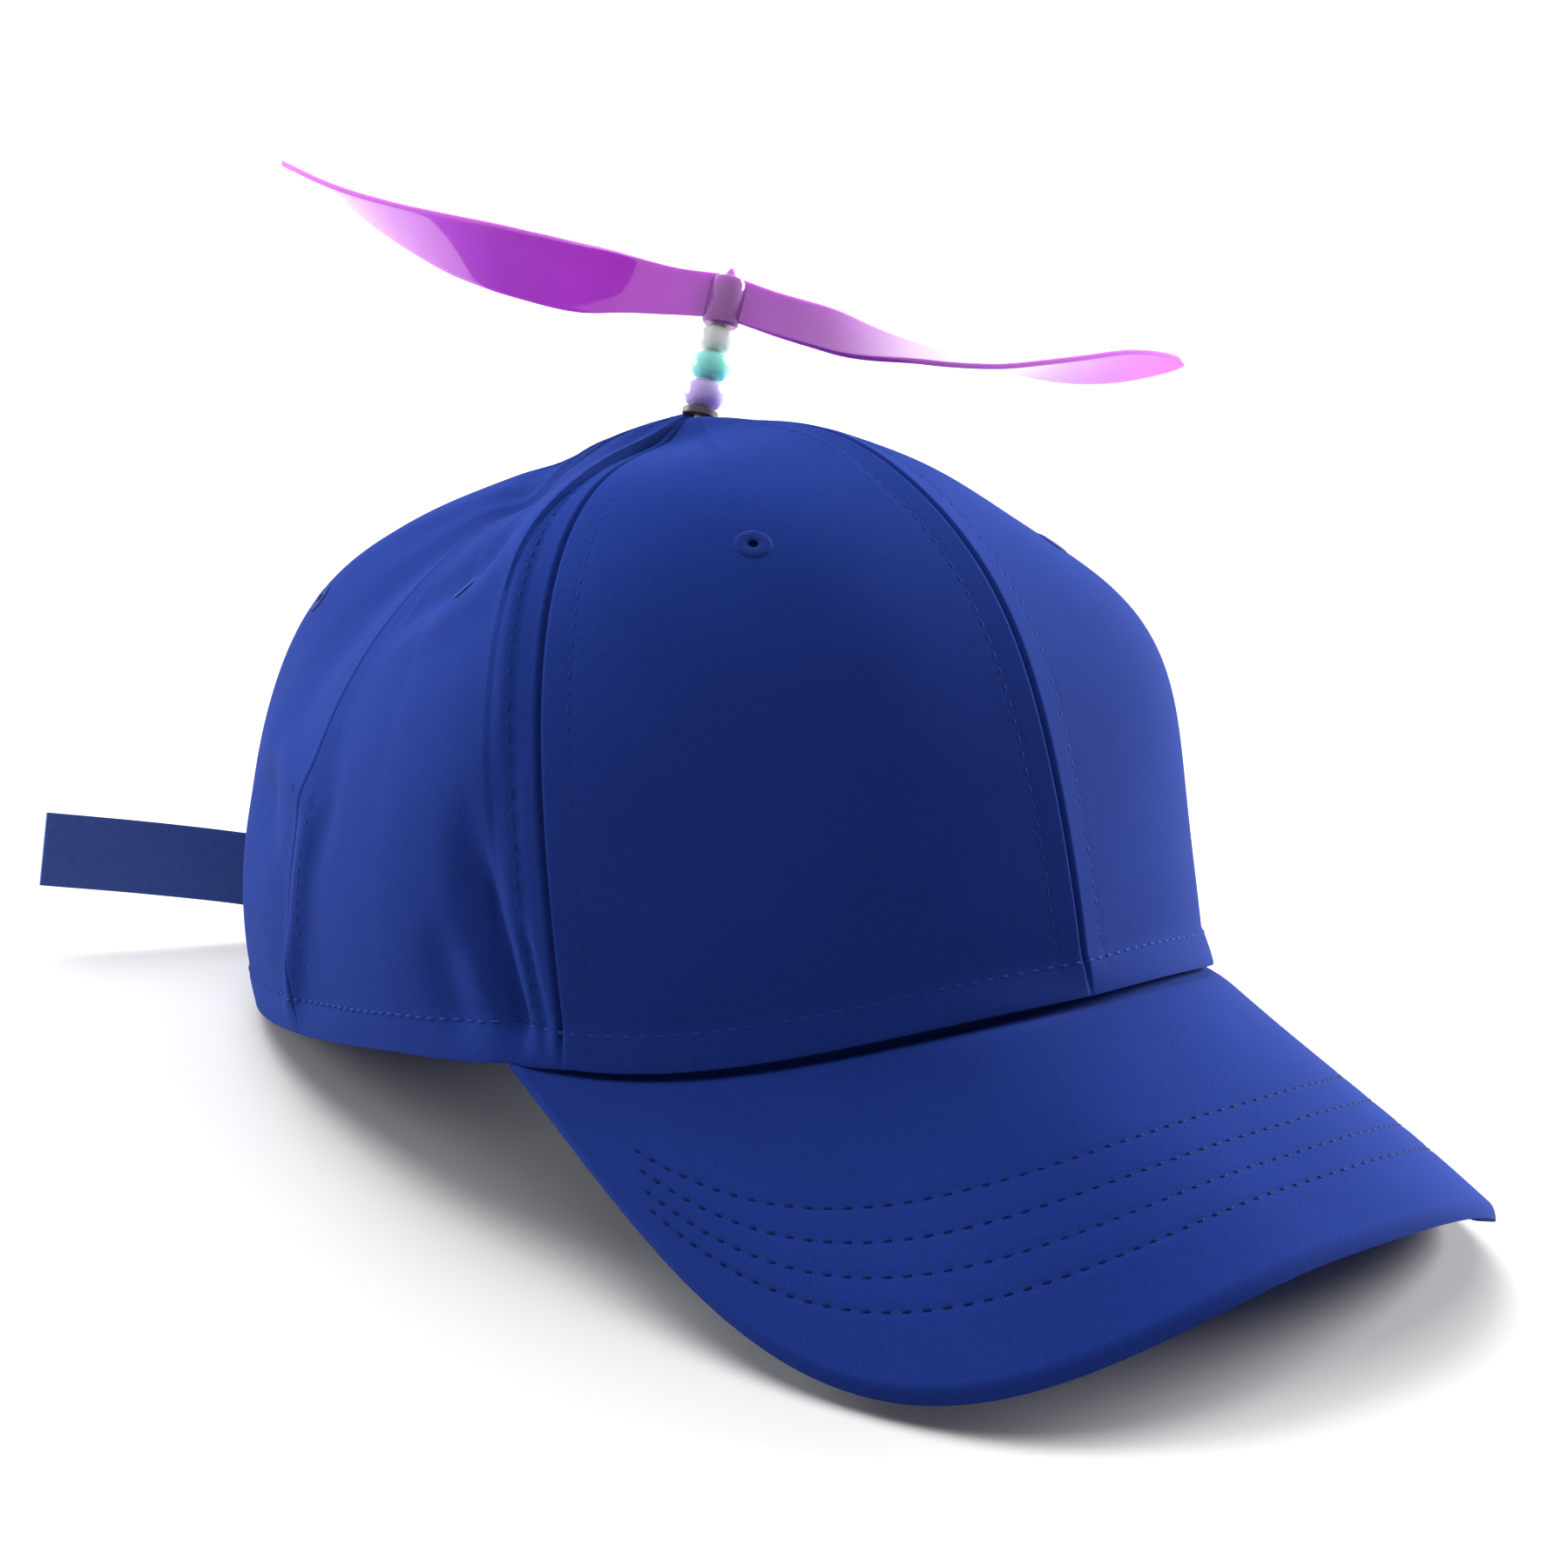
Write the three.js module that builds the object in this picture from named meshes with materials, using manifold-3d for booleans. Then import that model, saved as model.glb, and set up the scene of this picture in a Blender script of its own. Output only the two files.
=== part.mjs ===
// A propeller cap: a six-panel cloth cap with a curved brim, a back strap with a free end, and
// a two-bladed propeller that spins on a beaded stalk. Millimetres, +Z up, brim towards -Y.
// Shapes are worked out in the plane of the hem, and one group tips the cap nose-up to its rest
// on z = 0. Angles round the crown start at the middle of the front and grow round the wearer's
// right-hand side, which is -X.
import * as THREE from 'three';
import { mergeVertices } from 'three/addons/utils/BufferGeometryUtils.js';
import loadManifold from 'manifold-3d';

const wasm = await loadManifold();
wasm.setup();

const radians = THREE.MathUtils.degToRad;
const point = (x, y, z) => new THREE.Vector3(x, y, z);

// Rest pose
const REST_PITCH = radians(15.7);
const REST_ROLL = radians(-0.95);
const REST_PLACE = point(-0.58, 3.28, 27);
const FLOOR = { width: 400, length: 600, depth: 60 };

// Head opening, measured in the plane of the hem
const FRONT_REACH = 89.3;
const BACK_REACH = 116.7;
const HALF_WIDTH = 83.8;
const BACK_SQUARENESS = 0.85;
const BACK_TAPER = 0.22;
const TAPER_START = -30;
const SIDE_HEM_HEIGHT = -2.8;
const BACK_HEM_HEIGHT = 3;

// Crown
const WALL = 1.8;
const SEAM_GAP = 0.3;
const TOP = point(1.7, -3.9, 100.2);
const TOP_HOLE_RADIUS = 2.7;
const BACK_FULLNESS = 0.04;
const FULL_AT_SIDE = 0.3;
const FULL_SWING = 0.7;
const FRONT_SEAM = radians(62);
const BACK_SEAM = radians(105);
const PANEL_COLUMNS = 14;
const PANEL_ROWS = 18;

// How the profile changes round the crown: a low curve exponent is boxy, a high one is sloped,
// and cone is how far the roof is pulled down towards a straight cone
const PROFILES = [
  { angle: 0, curve: 0.83, cone: 0.9 },
  { angle: 60, curve: 0.68, cone: 3.2 },
  { angle: 120, curve: 1.12, cone: 2.3 },
  { angle: 180, curve: 0.68, cone: 3.1 },
  { angle: 240, curve: 0.96, cone: 3.3 },
  { angle: 300, curve: 0.85, cone: 7.7 },
];

// Soft relief of the cloth, in millimetres in or out along a line from one place to another;
// a place is an angle round the crown and a climb from the hem, both in degrees
const FOLDS = [
  { fromAngle: 73, fromClimb: 58, toAngle: 68, toClimb: 24, width: 6, depth: -1.6 },
  { fromAngle: 73, fromClimb: 24, toAngle: 67.5, toClimb: 0, width: 4.5, depth: -2.4 },
  { fromAngle: 69, fromClimb: 17, toAngle: 65.5, toClimb: 0, width: 3, depth: 1.2 },
  { fromAngle: 136, fromClimb: 33, toAngle: 104, toClimb: 24, width: 6, depth: 1.5 },
  { fromAngle: 112, fromClimb: 70, toAngle: 84, toClimb: 62, width: 7, depth: -1.5 },
];
const FLAT_HEM = radians(4);
const FLAT_TOP = radians(12);
const SEAM_DEPTH = 0.9;
const SEAM_WIDTH = 4;
const SEAM_SPAN = radians(23);
const FOLD_START = 0.25;
const FOLD_ROUNDING = 0.7;
const SEAT_LEAN = 0.25;
const SEAT_RADIUS = 9;

// Eyelets: one in the middle of each panel's upper half
const EYELET_RADIUS = 1.3;
const EYELET_SIDES = 10;
const EYELET_CUT = 14;
const EYELETS = [
  { panel: 'front', angle: 33.5, climb: 45 },
  { panel: 'side', angle: 83, climb: 47 },
  { panel: 'back', angle: 140, climb: 47 },
];

// Brim
const BRIM_LENGTH = 51;
const BRIM_SLOPE = Math.tan(radians(37));
const BRIM_ARCH = 43;
const BRIM_ARCH_LEFT_EXTRA = 3;
const BRIM_ARCH_AT = 80;
const BRIM_ARCH_POWER = 2.2;
const BRIM_CENTRE_HEIGHT = -6;
const BRIM_END = radians(68);
const BRIM_END_WIDTH = 2.4;
const BRIM_FLARE = 7.7;
const BRIM_OUTLINE_POWER = 2.7;
const BRIM_THICKNESS = 2.4;
const BRIM_COLUMNS = 32;
const BRIM_ROWS = 8;
// The underside leaves the crown upright and is square to the top face from this far out
const BRIM_SQUARE_FROM = 8;
const BRIM_GAP = 0.45;
// The front hem goes down behind the brim's inner edge, and every hem is turned a little
const HEM_TUCK = 3.4;
const TUCK_FADE = radians(5);
const HEM_TURN = 0.5;

// Back opening and strap
const OPENING_WIDTH = 62;
const OPENING_TOP = 48;
const OPENING_CUT = { low: -20, back: 140, depth: 80, steps: 20 };
const STRAP_WIDTH = 15;
const STRAP_THICKNESS = 1.3;
const STRAP_STEPS = 3;
const STRAP_INSET = 1.9;
const TAB_THICKNESS = 0.9;
const TAB_LOOP_RADIUS = 2.5;
const BUCKLE = { centre: point(-12, 115.6, 18.2), length: 13, height: 20, thickness: 2 };
const BUCKLE_BAR = 2.2;
const BUCKLE_RAIL = 1.8;
// Where the strap and the tab are sewn to the inside of the back panels
const STRAP_SEWN = [
  { angle: -143, height: 11 },
  { angle: -149, height: 11.2 },
  { angle: -156, height: 11.8 },
];
const TAB_SEWN = [
  { angle: 143, height: 12 },
  { angle: 149, height: 13 },
  { angle: 156, height: 14.5 },
];
// The strap's way over both bars, from the middle of the buckle: along towards the wearer's right,
// out to the back and up; then its free end
const STRAP_MIDDLE = point(15, 110.8, 13.6);
const STRAP_AT_BUCKLE = [
  { along: -7.9, out: -2.5, rise: 0 },
  { along: -4.8, out: -2.3, rise: 0 },
  { along: 0, out: 1, rise: 0 },
  { along: 3, out: 3.9, rise: 0 },
  { along: 6.9, out: 5, rise: 0.6 },
  { along: 18, out: 8.4, rise: 4 },
];
const STRAP_FREE = [point(-49, 129, 27.1), point(-68.5, 135.2, 31.7)];
const TAB_LOOP = { from: -15, to: 185, step: 40 };

// Stalk and beads: the stalk leans from the top of the crown, and heights run along it
const STALK_AXIS = point(0.349, -0.078, 0.934).normalize();
const BLADE_DIRECTION = point(0.726, -0.608, -0.322);
const PIN_RADIUS = 1;
const PIN_BASE = { radius: 4, thickness: 1.2, drop: 3.9 };
const PIN_TIP = 24.5;
const BORE_RADIUS = 1.3;
const WASHER = { low: 0.8, high: 1.6, radius: 3.3, roundness: 0.15 };
const BEADS = [
  { name: 'bead_lavender', low: 1.9, high: 7.1, radius: 3.7, colour: 0x8f73cf },
  { name: 'bead_mint', low: 7.4, high: 12.5, radius: 3.55, colour: 0x63bfa9 },
  { name: 'bead_white', low: 12.8, high: 17.6, radius: 3.25, colour: 0xdedbd2 },
];
const BEAD_ROUNDNESS = 0.6;
const BEAD_STEPS = 6;
const BEAD_SIDES = 16;

// Propeller
const HUB = { low: 17.9, high: 27.2, radius: 3.4, chamfer: 0.4, tip: 28.9, tipRadius: 1.1, bore: 25 };
const BLADE_LEVEL = 23.3;
const BLADE_THICKNESS = 1.1;
const BLADE_STEPS = 26;
const BLADE_STRIPS = 4;
const BLADE_EDGE = 0.35;
// Sections of one blade out from the axis; pitch is from flat, and lift is above the hub's middle
const BLADE_SECTIONS = [
  { radius: 2, chord: 8.2, pitch: 82, lift: 0 },
  { radius: 10, chord: 8.8, pitch: 73, lift: -1 },
  { radius: 18.5, chord: 11, pitch: 58, lift: -1.6 },
  { radius: 27, chord: 15.4, pitch: 37, lift: -2.4 },
  { radius: 35, chord: 18.8, pitch: 25, lift: -2.4 },
  { radius: 43.5, chord: 20, pitch: 20, lift: -2.1 },
  { radius: 52, chord: 20.4, pitch: 14, lift: -1.5 },
  { radius: 60, chord: 20.2, pitch: 6, lift: -0.3 },
  { radius: 67.5, chord: 18.4, pitch: -1, lift: 1.4 },
  { radius: 75, chord: 14, pitch: -9, lift: 3.7 },
  { radius: 81, chord: 8.6, pitch: -13, lift: 5.5 },
  { radius: 84.6, chord: 4, pitch: -15, lift: 6.5 },
  { radius: 86, chord: 1, pitch: -16, lift: 6.9 },
];

function finish(color, roughness, metalness) {
  return new THREE.MeshStandardMaterial({ color, roughness, metalness });
}
const cloth = (colour) => finish(colour, 0.9, 0);
const plastic = (colour) => finish(colour, 0.25, 0);
const metal = (colour) => finish(colour, 0.4, 0.9);

// Catmull-Rom between four neighbouring values
function blend(before, from, to, after, share) {
  const slope = (to - before) / 2;
  const bend = before - 2.5 * from + 2 * to - after / 2;
  const turn = 1.5 * (from - to) + (after - before) / 2;
  return from + share * (slope + share * (bend + share * turn));
}

function smooth(share) {
  const s = THREE.MathUtils.clamp(share, 0, 1);
  return s * s * (3 - 2 * s);
}

function profileAt(angle, column) {
  const count = PROFILES.length;
  const place = THREE.MathUtils.euclideanModulo(angle / (2 * Math.PI), 1) * count;
  const row = Math.floor(place);
  const value = (k) => PROFILES[(row + k + count) % count][column];
  return blend(value(-1), value(0), value(1), value(2), place - row);
}

// The hem seen from above; keep undoes the taper higher up the crown
function hemPlan(angle, keep = 0) {
  const front = Math.cos(angle) > 0;
  const along = Math.abs(Math.cos(angle));
  const across = Math.abs(Math.sin(angle));
  const x = -HALF_WIDTH * Math.sign(Math.sin(angle)) * across ** (front ? 1 : BACK_SQUARENESS);
  const y = front ? -FRONT_REACH * along : BACK_REACH * along ** BACK_SQUARENESS;
  const back = THREE.MathUtils.clamp((y - TAPER_START) / (BACK_REACH - TAPER_START), 0, 1);
  return { x: x * (1 - BACK_TAPER * (1 - keep) * back), y };
}

function brimHeight(x, y) {
  const arch = BRIM_ARCH + (x > 0 ? BRIM_ARCH_LEFT_EXTRA : 0);
  const sag = arch * Math.abs(x / BRIM_ARCH_AT) ** BRIM_ARCH_POWER;
  return BRIM_CENTRE_HEIGHT - sag + (y + FRONT_REACH) * BRIM_SLOPE;
}

function hemHeight(angle) {
  const turn = Math.abs(Math.atan2(Math.sin(angle), Math.cos(angle)));
  const side = Math.PI / 2;
  const { x, y } = hemPlan(Math.min(turn, BRIM_END) * Math.sign(Math.sin(angle) || 1));
  const atBrim = brimHeight(x, y);
  if (turn <= BRIM_END) return atBrim;
  const toSide = smooth((turn - BRIM_END) / (side - BRIM_END));
  const toBack = smooth((turn - side) / side);
  if (turn < side) return THREE.MathUtils.lerp(atBrim, SIDE_HEM_HEIGHT, toSide);
  return THREE.MathUtils.lerp(SIDE_HEM_HEIGHT, BACK_HEM_HEIGHT, toBack);
}

// The crown without relief; climb goes from 0 at the hem to a right angle at the top
function crownForm(angle, climb) {
  const curve = profileAt(angle, 'curve');
  const turned = Math.atan(Math.tan(climb) ** (1 / curve));
  const reach = Math.cos(turned) ** curve;
  const rise = Math.sin(turned) ** curve;
  const hem = hemPlan(angle, rise);
  const low = hemHeight(angle);
  const behind = THREE.MathUtils.clamp(FULL_AT_SIDE - FULL_SWING * Math.cos(angle), 0, 1);
  const swell = 1 + BACK_FULLNESS * Math.sin(2 * turned) * behind;
  const cone = 4 * profileAt(angle, 'cone') * reach * (1 - reach);
  const x = TOP.x + (hem.x * swell - TOP.x) * reach;
  const y = TOP.y + (hem.y - TOP.y) * reach * swell;
  const away = Math.hypot(x - TOP.x, y - TOP.y);
  const lean = SEAT_LEAN * ((x - TOP.x) * STALK_AXIS.x + (y - TOP.y) * STALK_AXIS.y);
  const seat = lean / Math.hypot(STALK_AXIS.x, STALK_AXIS.y) * Math.exp(-((away / SEAT_RADIUS) ** 2));
  return point(x, y, low + (TOP.z - low) * rise - cone - seat);
}

function crownNormal(angle, climb) {
  const step = 1e-3;
  const at = THREE.MathUtils.clamp(climb, 2 * step, Math.PI / 2 - 2 * step);
  const round = crownForm(angle + step, at).sub(crownForm(angle - step, at));
  const up = crownForm(angle, at + step).sub(crownForm(angle, at - step));
  return up.cross(round).normalize();
}

const seamAngles = [0, FRONT_SEAM, BACK_SEAM, Math.PI, -BACK_SEAM, -FRONT_SEAM];

// Millimetres between two places, near enough for the width of a fold
function nearDistance(angle, climb, otherAngle, otherClimb) {
  const here = crownForm(angle, climb);
  return here.distanceTo(crownForm(otherAngle, otherClimb));
}

function relief(angle, climb) {
  let total = 0;
  for (const seam of seamAngles) {
    const turn = Math.atan2(Math.sin(angle - seam), Math.cos(angle - seam));
    if (Math.abs(turn) > SEAM_SPAN) continue;
    const away = nearDistance(angle, climb, seam, climb);
    total -= SEAM_DEPTH * Math.exp(-((away / SEAM_WIDTH) ** 2));
  }
  for (const fold of FOLDS) {
    const from = { angle: radians(fold.fromAngle), climb: radians(fold.fromClimb) };
    const to = { angle: radians(fold.toAngle), climb: radians(fold.toClimb) };
    const run = to.climb - from.climb;
    const turn = to.angle - from.angle;
    const onto = (angle - from.angle) * turn + (climb - from.climb) * run;
    const held = THREE.MathUtils.clamp(onto / (turn * turn + run * run), 0, 1);
    const away = nearDistance(angle, climb, from.angle + turn * held, from.climb + run * held);
    const toHem = smooth(held / FOLD_START);
    const fade = fold.toClimb === 0 ? toHem : Math.sin(Math.PI * held) ** FOLD_ROUNDING;
    total += fold.depth * fade * Math.exp(-((away / fold.width) ** 2));
  }
  return total * smooth(climb / FLAT_HEM) * smooth((Math.PI / 2 - climb) / FLAT_TOP);
}

function crownPoint(angle, climb, inward = 0) {
  const out = relief(angle, climb) - inward;
  return crownForm(angle, climb).addScaledVector(crownNormal(angle, climb), out);
}

function topClimb(angle) {
  const hem = hemPlan(angle, 1);
  return Math.PI / 2 - TOP_HOLE_RADIUS / Math.hypot(hem.x - TOP.x, hem.y - TOP.y);
}

// A closed solid between two grids of points with the same rows and columns
function gridSolid(outer, inner) {
  const rows = outer.length;
  const columns = outer[0].length;
  const positions = [...outer, ...inner].flatMap((row) => row.flatMap((p) => p.toArray()));
  const near = (r, c) => r * columns + c;
  const far = (r, c) => rows * columns + near(r, c);
  const index = [];
  const quad = (a, b, c, d) => index.push(a, b, c, a, c, d);
  for (let r = 0; r < rows - 1; r++) {
    for (let c = 0; c < columns - 1; c++) {
      quad(near(r, c), near(r, c + 1), near(r + 1, c + 1), near(r + 1, c));
      quad(far(r, c), far(r + 1, c), far(r + 1, c + 1), far(r, c + 1));
    }
    quad(near(r, 0), near(r + 1, 0), far(r + 1, 0), far(r, 0));
    quad(near(r + 1, columns - 1), near(r, columns - 1), far(r, columns - 1), far(r + 1, columns - 1));
  }
  for (let c = 0; c < columns - 1; c++) {
    quad(near(0, c + 1), near(0, c), far(0, c), far(0, c + 1));
    quad(near(rows - 1, c), near(rows - 1, c + 1), far(rows - 1, c + 1), far(rows - 1, c));
  }
  const geometry = new THREE.BufferGeometry();
  geometry.setAttribute('position', new THREE.Float32BufferAttribute(positions, 3));
  geometry.setIndex(index);
  return geometry;
}

function toManifold(geometry) {
  const bare = geometry.clone();
  bare.deleteAttribute('normal');
  bare.deleteAttribute('uv');
  const merged = mergeVertices(bare, 1e-4);
  const mesh = new wasm.Mesh({
    numProp: 3,
    vertProperties: new Float32Array(merged.attributes.position.array),
    triVerts: new Uint32Array(merged.index.array),
  });
  return new wasm.Manifold(mesh);
}

function toGeometry(solid) {
  const mesh = solid.getMesh();
  const geometry = new THREE.BufferGeometry();
  geometry.setAttribute('position', new THREE.Float32BufferAttribute(mesh.vertProperties, 3));
  geometry.setIndex(Array.from(mesh.triVerts));
  return geometry;
}

function named(name, geometry, material) {
  const mesh = new THREE.Mesh(geometry, material);
  mesh.name = name;
  return mesh;
}

const cap = new THREE.Group();
cap.rotation.set(-REST_PITCH, REST_ROLL, 0);
cap.position.copy(REST_PLACE);
cap.updateMatrix();

// What would lie below the surface that the cap rests on
function belowFloor() {
  const block = new THREE.BoxGeometry(FLOOR.width, FLOOR.length, FLOOR.depth);
  block.translate(0, 0, -FLOOR.depth / 2);
  block.applyMatrix4(cap.matrix.clone().invert());
  return toManifold(block);
}

// The half-moon above the strap, cut through both back panels
function backOpening() {
  const half = OPENING_WIDTH / 2;
  const { low, back, depth, steps } = OPENING_CUT;
  const arch = new THREE.Shape();
  arch.moveTo(-half, low);
  arch.lineTo(half, low);
  arch.lineTo(half, BACK_HEM_HEIGHT);
  arch.absellipse(0, BACK_HEM_HEIGHT, half, OPENING_TOP - BACK_HEM_HEIGHT, 0, Math.PI, false);
  const through = new THREE.ExtrudeGeometry(arch, { depth, bevelEnabled: false, curveSegments: steps });
  through.rotateX(Math.PI / 2);
  through.translate(0, back, 0);
  return toManifold(through);
}

function eyeletHole(angle, climb) {
  const hole = new THREE.CylinderGeometry(EYELET_RADIUS, EYELET_RADIUS, EYELET_CUT, EYELET_SIDES);
  const axis = crownNormal(angle, climb);
  hole.applyQuaternion(new THREE.Quaternion().setFromUnitVectors(point(0, 1, 0), axis));
  hole.translate(...crownPoint(angle, climb).toArray());
  return toManifold(hole);
}

// How far the front hem goes down behind the inner edge of the brim
function tuckDepth(angle) {
  return HEM_TUCK * (1 - smooth((Math.abs(angle) - BRIM_END) / TUCK_FADE));
}

function panelGrid(from, to, inward) {
  const grid = [];
  for (let r = -1; r <= PANEL_ROWS; r++) {
    const row = [];
    for (let c = 0; c <= PANEL_COLUMNS; c++) {
      const share = 0.5 - 0.5 * Math.cos(Math.PI * c / PANEL_COLUMNS);
      const middle = from + (to - from) * share;
      const climb = topClimb(middle) * Math.max(r, 0) / PANEL_ROWS;
      const step = 1e-3;
      const speed = nearDistance(middle + step, climb, middle - step, climb) / (2 * step);
      const trim = (1 - 2 * share) * SEAM_GAP / 2 / speed;
      const place = crownPoint(middle + trim, climb, inward);
      if (r < 0) place.z -= tuckDepth(middle) + HEM_TURN;
      row.push(place);
    }
    grid.push(row);
  }
  return grid;
}

function crownPanel(name, from, to, cuts) {
  const outside = panelGrid(from, to, 0).map((row) => row.reverse());
  const inside = panelGrid(from, to, WALL).map((row) => row.reverse());
  let solid = toManifold(gridSolid(outside, inside));
  for (const cut of cuts) solid = solid.subtract(cut);
  return named(name, toGeometry(solid), cloth(0x2b3f97));
}

const floor = belowFloor();
const opening = backOpening();
const panels = [
  { panel: 'front', from: 0, to: FRONT_SEAM, cuts: [] },
  { panel: 'side', from: FRONT_SEAM, to: BACK_SEAM, cuts: [] },
  { panel: 'back', from: BACK_SEAM, to: Math.PI, cuts: [opening, floor] },
];
for (const { panel, from, to, cuts } of panels) {
  const eyelet = EYELETS.find((row) => row.panel === panel);
  const angle = radians(eyelet.angle);
  const climb = radians(eyelet.climb);
  cap.add(crownPanel(`crown_${panel}_right`, from, to, [...cuts, eyeletHole(angle, climb)]));
  cap.add(crownPanel(`crown_${panel}_left`, -to, -from, [...cuts, eyeletHole(-angle, climb)]));
}

// Brim: rows run from the crown out to the edge, columns from the wearer's right to the left
function brimInner(share) {
  const angle = BRIM_END * (1 - 2 * share);
  const hem = crownPoint(angle, 0);
  const out = crownNormal(angle, 0).setZ(0).normalize();
  return hem.addScaledVector(out, BRIM_GAP);
}

function brimOuter(share) {
  const end = hemPlan(BRIM_END);
  const turn = Math.PI * (share - 0.5);
  const across = Math.abs(Math.sin(turn)) ** (2 / BRIM_OUTLINE_POWER);
  const ahead = Math.cos(turn) ** (2 / BRIM_OUTLINE_POWER);
  const half = BRIM_END_WIDTH - end.x + BRIM_FLARE * Math.sin(2 * Math.abs(turn));
  const y = end.y - (BRIM_LENGTH + FRONT_REACH + end.y) * Math.max(ahead, 0);
  return point(Math.sign(turn) * across * half, y, 0);
}

function brimNormal(x, y) {
  const step = 0.01;
  const slopeX = (brimHeight(x + step, y) - brimHeight(x - step, y)) / (2 * step);
  return point(-slopeX, -BRIM_SLOPE, 1).normalize();
}

function brim() {
  const topFace = [];
  const underside = [];
  for (let r = 0; r <= BRIM_ROWS; r++) {
    const upper = [];
    const lower = [];
    for (let c = 0; c <= BRIM_COLUMNS; c++) {
      const share = c / BRIM_COLUMNS;
      const start = brimInner(share);
      const place = start.clone().lerp(brimOuter(share), r / BRIM_ROWS);
      const away = Math.hypot(place.x - start.x, place.y - start.y);
      place.z = brimHeight(place.x, place.y);
      const square = brimNormal(place.x, place.y);
      const up = point(0, 0, 1).lerp(square, smooth(away / BRIM_SQUARE_FROM)).normalize();
      upper.push(place);
      lower.push(place.clone().addScaledVector(up, -BRIM_THICKNESS));
    }
    topFace.push(upper.reverse());
    underside.push(lower.reverse());
  }
  const solid = toManifold(gridSolid(topFace, underside)).subtract(floor);
  return named('brim', toGeometry(solid), cloth(0x25397f));
}
cap.add(brim());

// A flat strip of webbing along a line of places, standing on its edge
function webbing(places, thickness) {
  const line = new THREE.CatmullRomCurve3(places);
  const steps = STRAP_STEPS * (places.length - 1);
  const outer = [];
  const inner = [];
  for (let i = 0; i <= steps; i++) {
    const at = line.getPoint(i / steps);
    const along = line.getTangent(i / steps);
    const up = point(0, 0, 1).addScaledVector(along, -along.z).normalize();
    const out = new THREE.Vector3().crossVectors(along, up);
    const face = (side) => [0.5, -0.5].map((edge) =>
      at.clone().addScaledVector(up, edge * STRAP_WIDTH).addScaledVector(out, side * thickness / 2));
    outer.push(face(1));
    inner.push(face(-1));
  }
  return gridSolid(outer, inner);
}

// A place for the middle of a strap, just inside a back panel
function insideBack(angle, z) {
  let climb = 0;
  while (crownPoint(angle, climb).z < z) climb += radians(0.5);
  return crownPoint(angle, climb, WALL + STRAP_INSET).setZ(z);
}

function atBuckle(along, out, rise = 0) {
  return BUCKLE.centre.clone().add(point(-along, out, rise));
}
const sewn = ({ angle, height }) => insideBack(radians(angle), height);
const backStrap = [
  ...STRAP_SEWN.map(sewn),
  STRAP_MIDDLE,
  ...STRAP_AT_BUCKLE.map(({ along, out, rise }) => atBuckle(along, out, rise)),
  ...STRAP_FREE,
];
cap.add(named('back_strap', webbing(backStrap, STRAP_THICKNESS), cloth(0x2f3f7c)));

function tabPlaces() {
  const places = TAB_SEWN.map(sewn);
  const bar = BUCKLE.length / 2 - BUCKLE_BAR / 2;
  for (let turn = TAB_LOOP.from; turn <= TAB_LOOP.to; turn += TAB_LOOP.step) {
    const a = radians(turn);
    places.push(atBuckle(bar - TAB_LOOP_RADIUS * Math.sin(a), -TAB_LOOP_RADIUS * Math.cos(a)));
  }
  return places;
}
cap.add(named('strap_tab', webbing(tabPlaces(), TAB_THICKNESS), cloth(0x2f3f7c)));

function buckle() {
  const frame = new THREE.Shape();
  const window = new THREE.Path();
  const box = (path, halfLength, halfHeight) => {
    path.moveTo(-halfLength, -halfHeight);
    path.lineTo(halfLength, -halfHeight);
    path.lineTo(halfLength, halfHeight);
    path.lineTo(-halfLength, halfHeight);
    path.closePath();
  };
  box(frame, BUCKLE.length / 2, BUCKLE.height / 2);
  box(window, BUCKLE.length / 2 - BUCKLE_BAR, BUCKLE.height / 2 - BUCKLE_RAIL);
  frame.holes.push(window);
  const geometry = new THREE.ExtrudeGeometry(frame, { depth: BUCKLE.thickness, bevelEnabled: false });
  geometry.translate(0, 0, -BUCKLE.thickness / 2);
  const mesh = named('strap_buckle', geometry, metal(0x8d7a4a));
  mesh.position.copy(BUCKLE.centre);
  mesh.rotation.x = Math.PI / 2;
  return mesh;
}
cap.add(buckle());

// Stalk: its own frame has Z along the pin and X along the right-hand blade
const stalk = new THREE.Group();
const across = BLADE_DIRECTION.clone().projectOnPlane(STALK_AXIS).normalize();
const towards = new THREE.Vector3().crossVectors(STALK_AXIS, across);
stalk.quaternion.setFromRotationMatrix(new THREE.Matrix4().makeBasis(across, towards, STALK_AXIS));
stalk.position.copy(TOP);
cap.add(stalk);

function turned(profile, sides) {
  const outline = profile.map(([radius, height]) => new THREE.Vector2(radius, height));
  const geometry = new THREE.LatheGeometry(outline, sides);
  geometry.rotateX(Math.PI / 2);
  return geometry;
}

function ring({ low, high, radius, roundness }) {
  const middle = (low + high) / 2;
  const half = (high - low) / 2;
  const profile = [[BORE_RADIUS, low], [BORE_RADIUS, high]];
  for (let i = 1; i < BEAD_STEPS; i++) {
    const a = Math.PI * (0.5 - i / BEAD_STEPS);
    const reach = BORE_RADIUS + (radius - BORE_RADIUS) * Math.cos(a) ** roundness;
    profile.push([reach, middle + half * Math.sin(a)]);
  }
  profile.push([BORE_RADIUS, low]);
  return turned(profile.reverse(), BEAD_SIDES);
}

for (const bead of BEADS) {
  stalk.add(named(bead.name, ring({ ...bead, roundness: BEAD_ROUNDNESS }), plastic(bead.colour)));
}
stalk.add(named('stalk_washer', ring(WASHER), metal(0x3c3328)));

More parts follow.
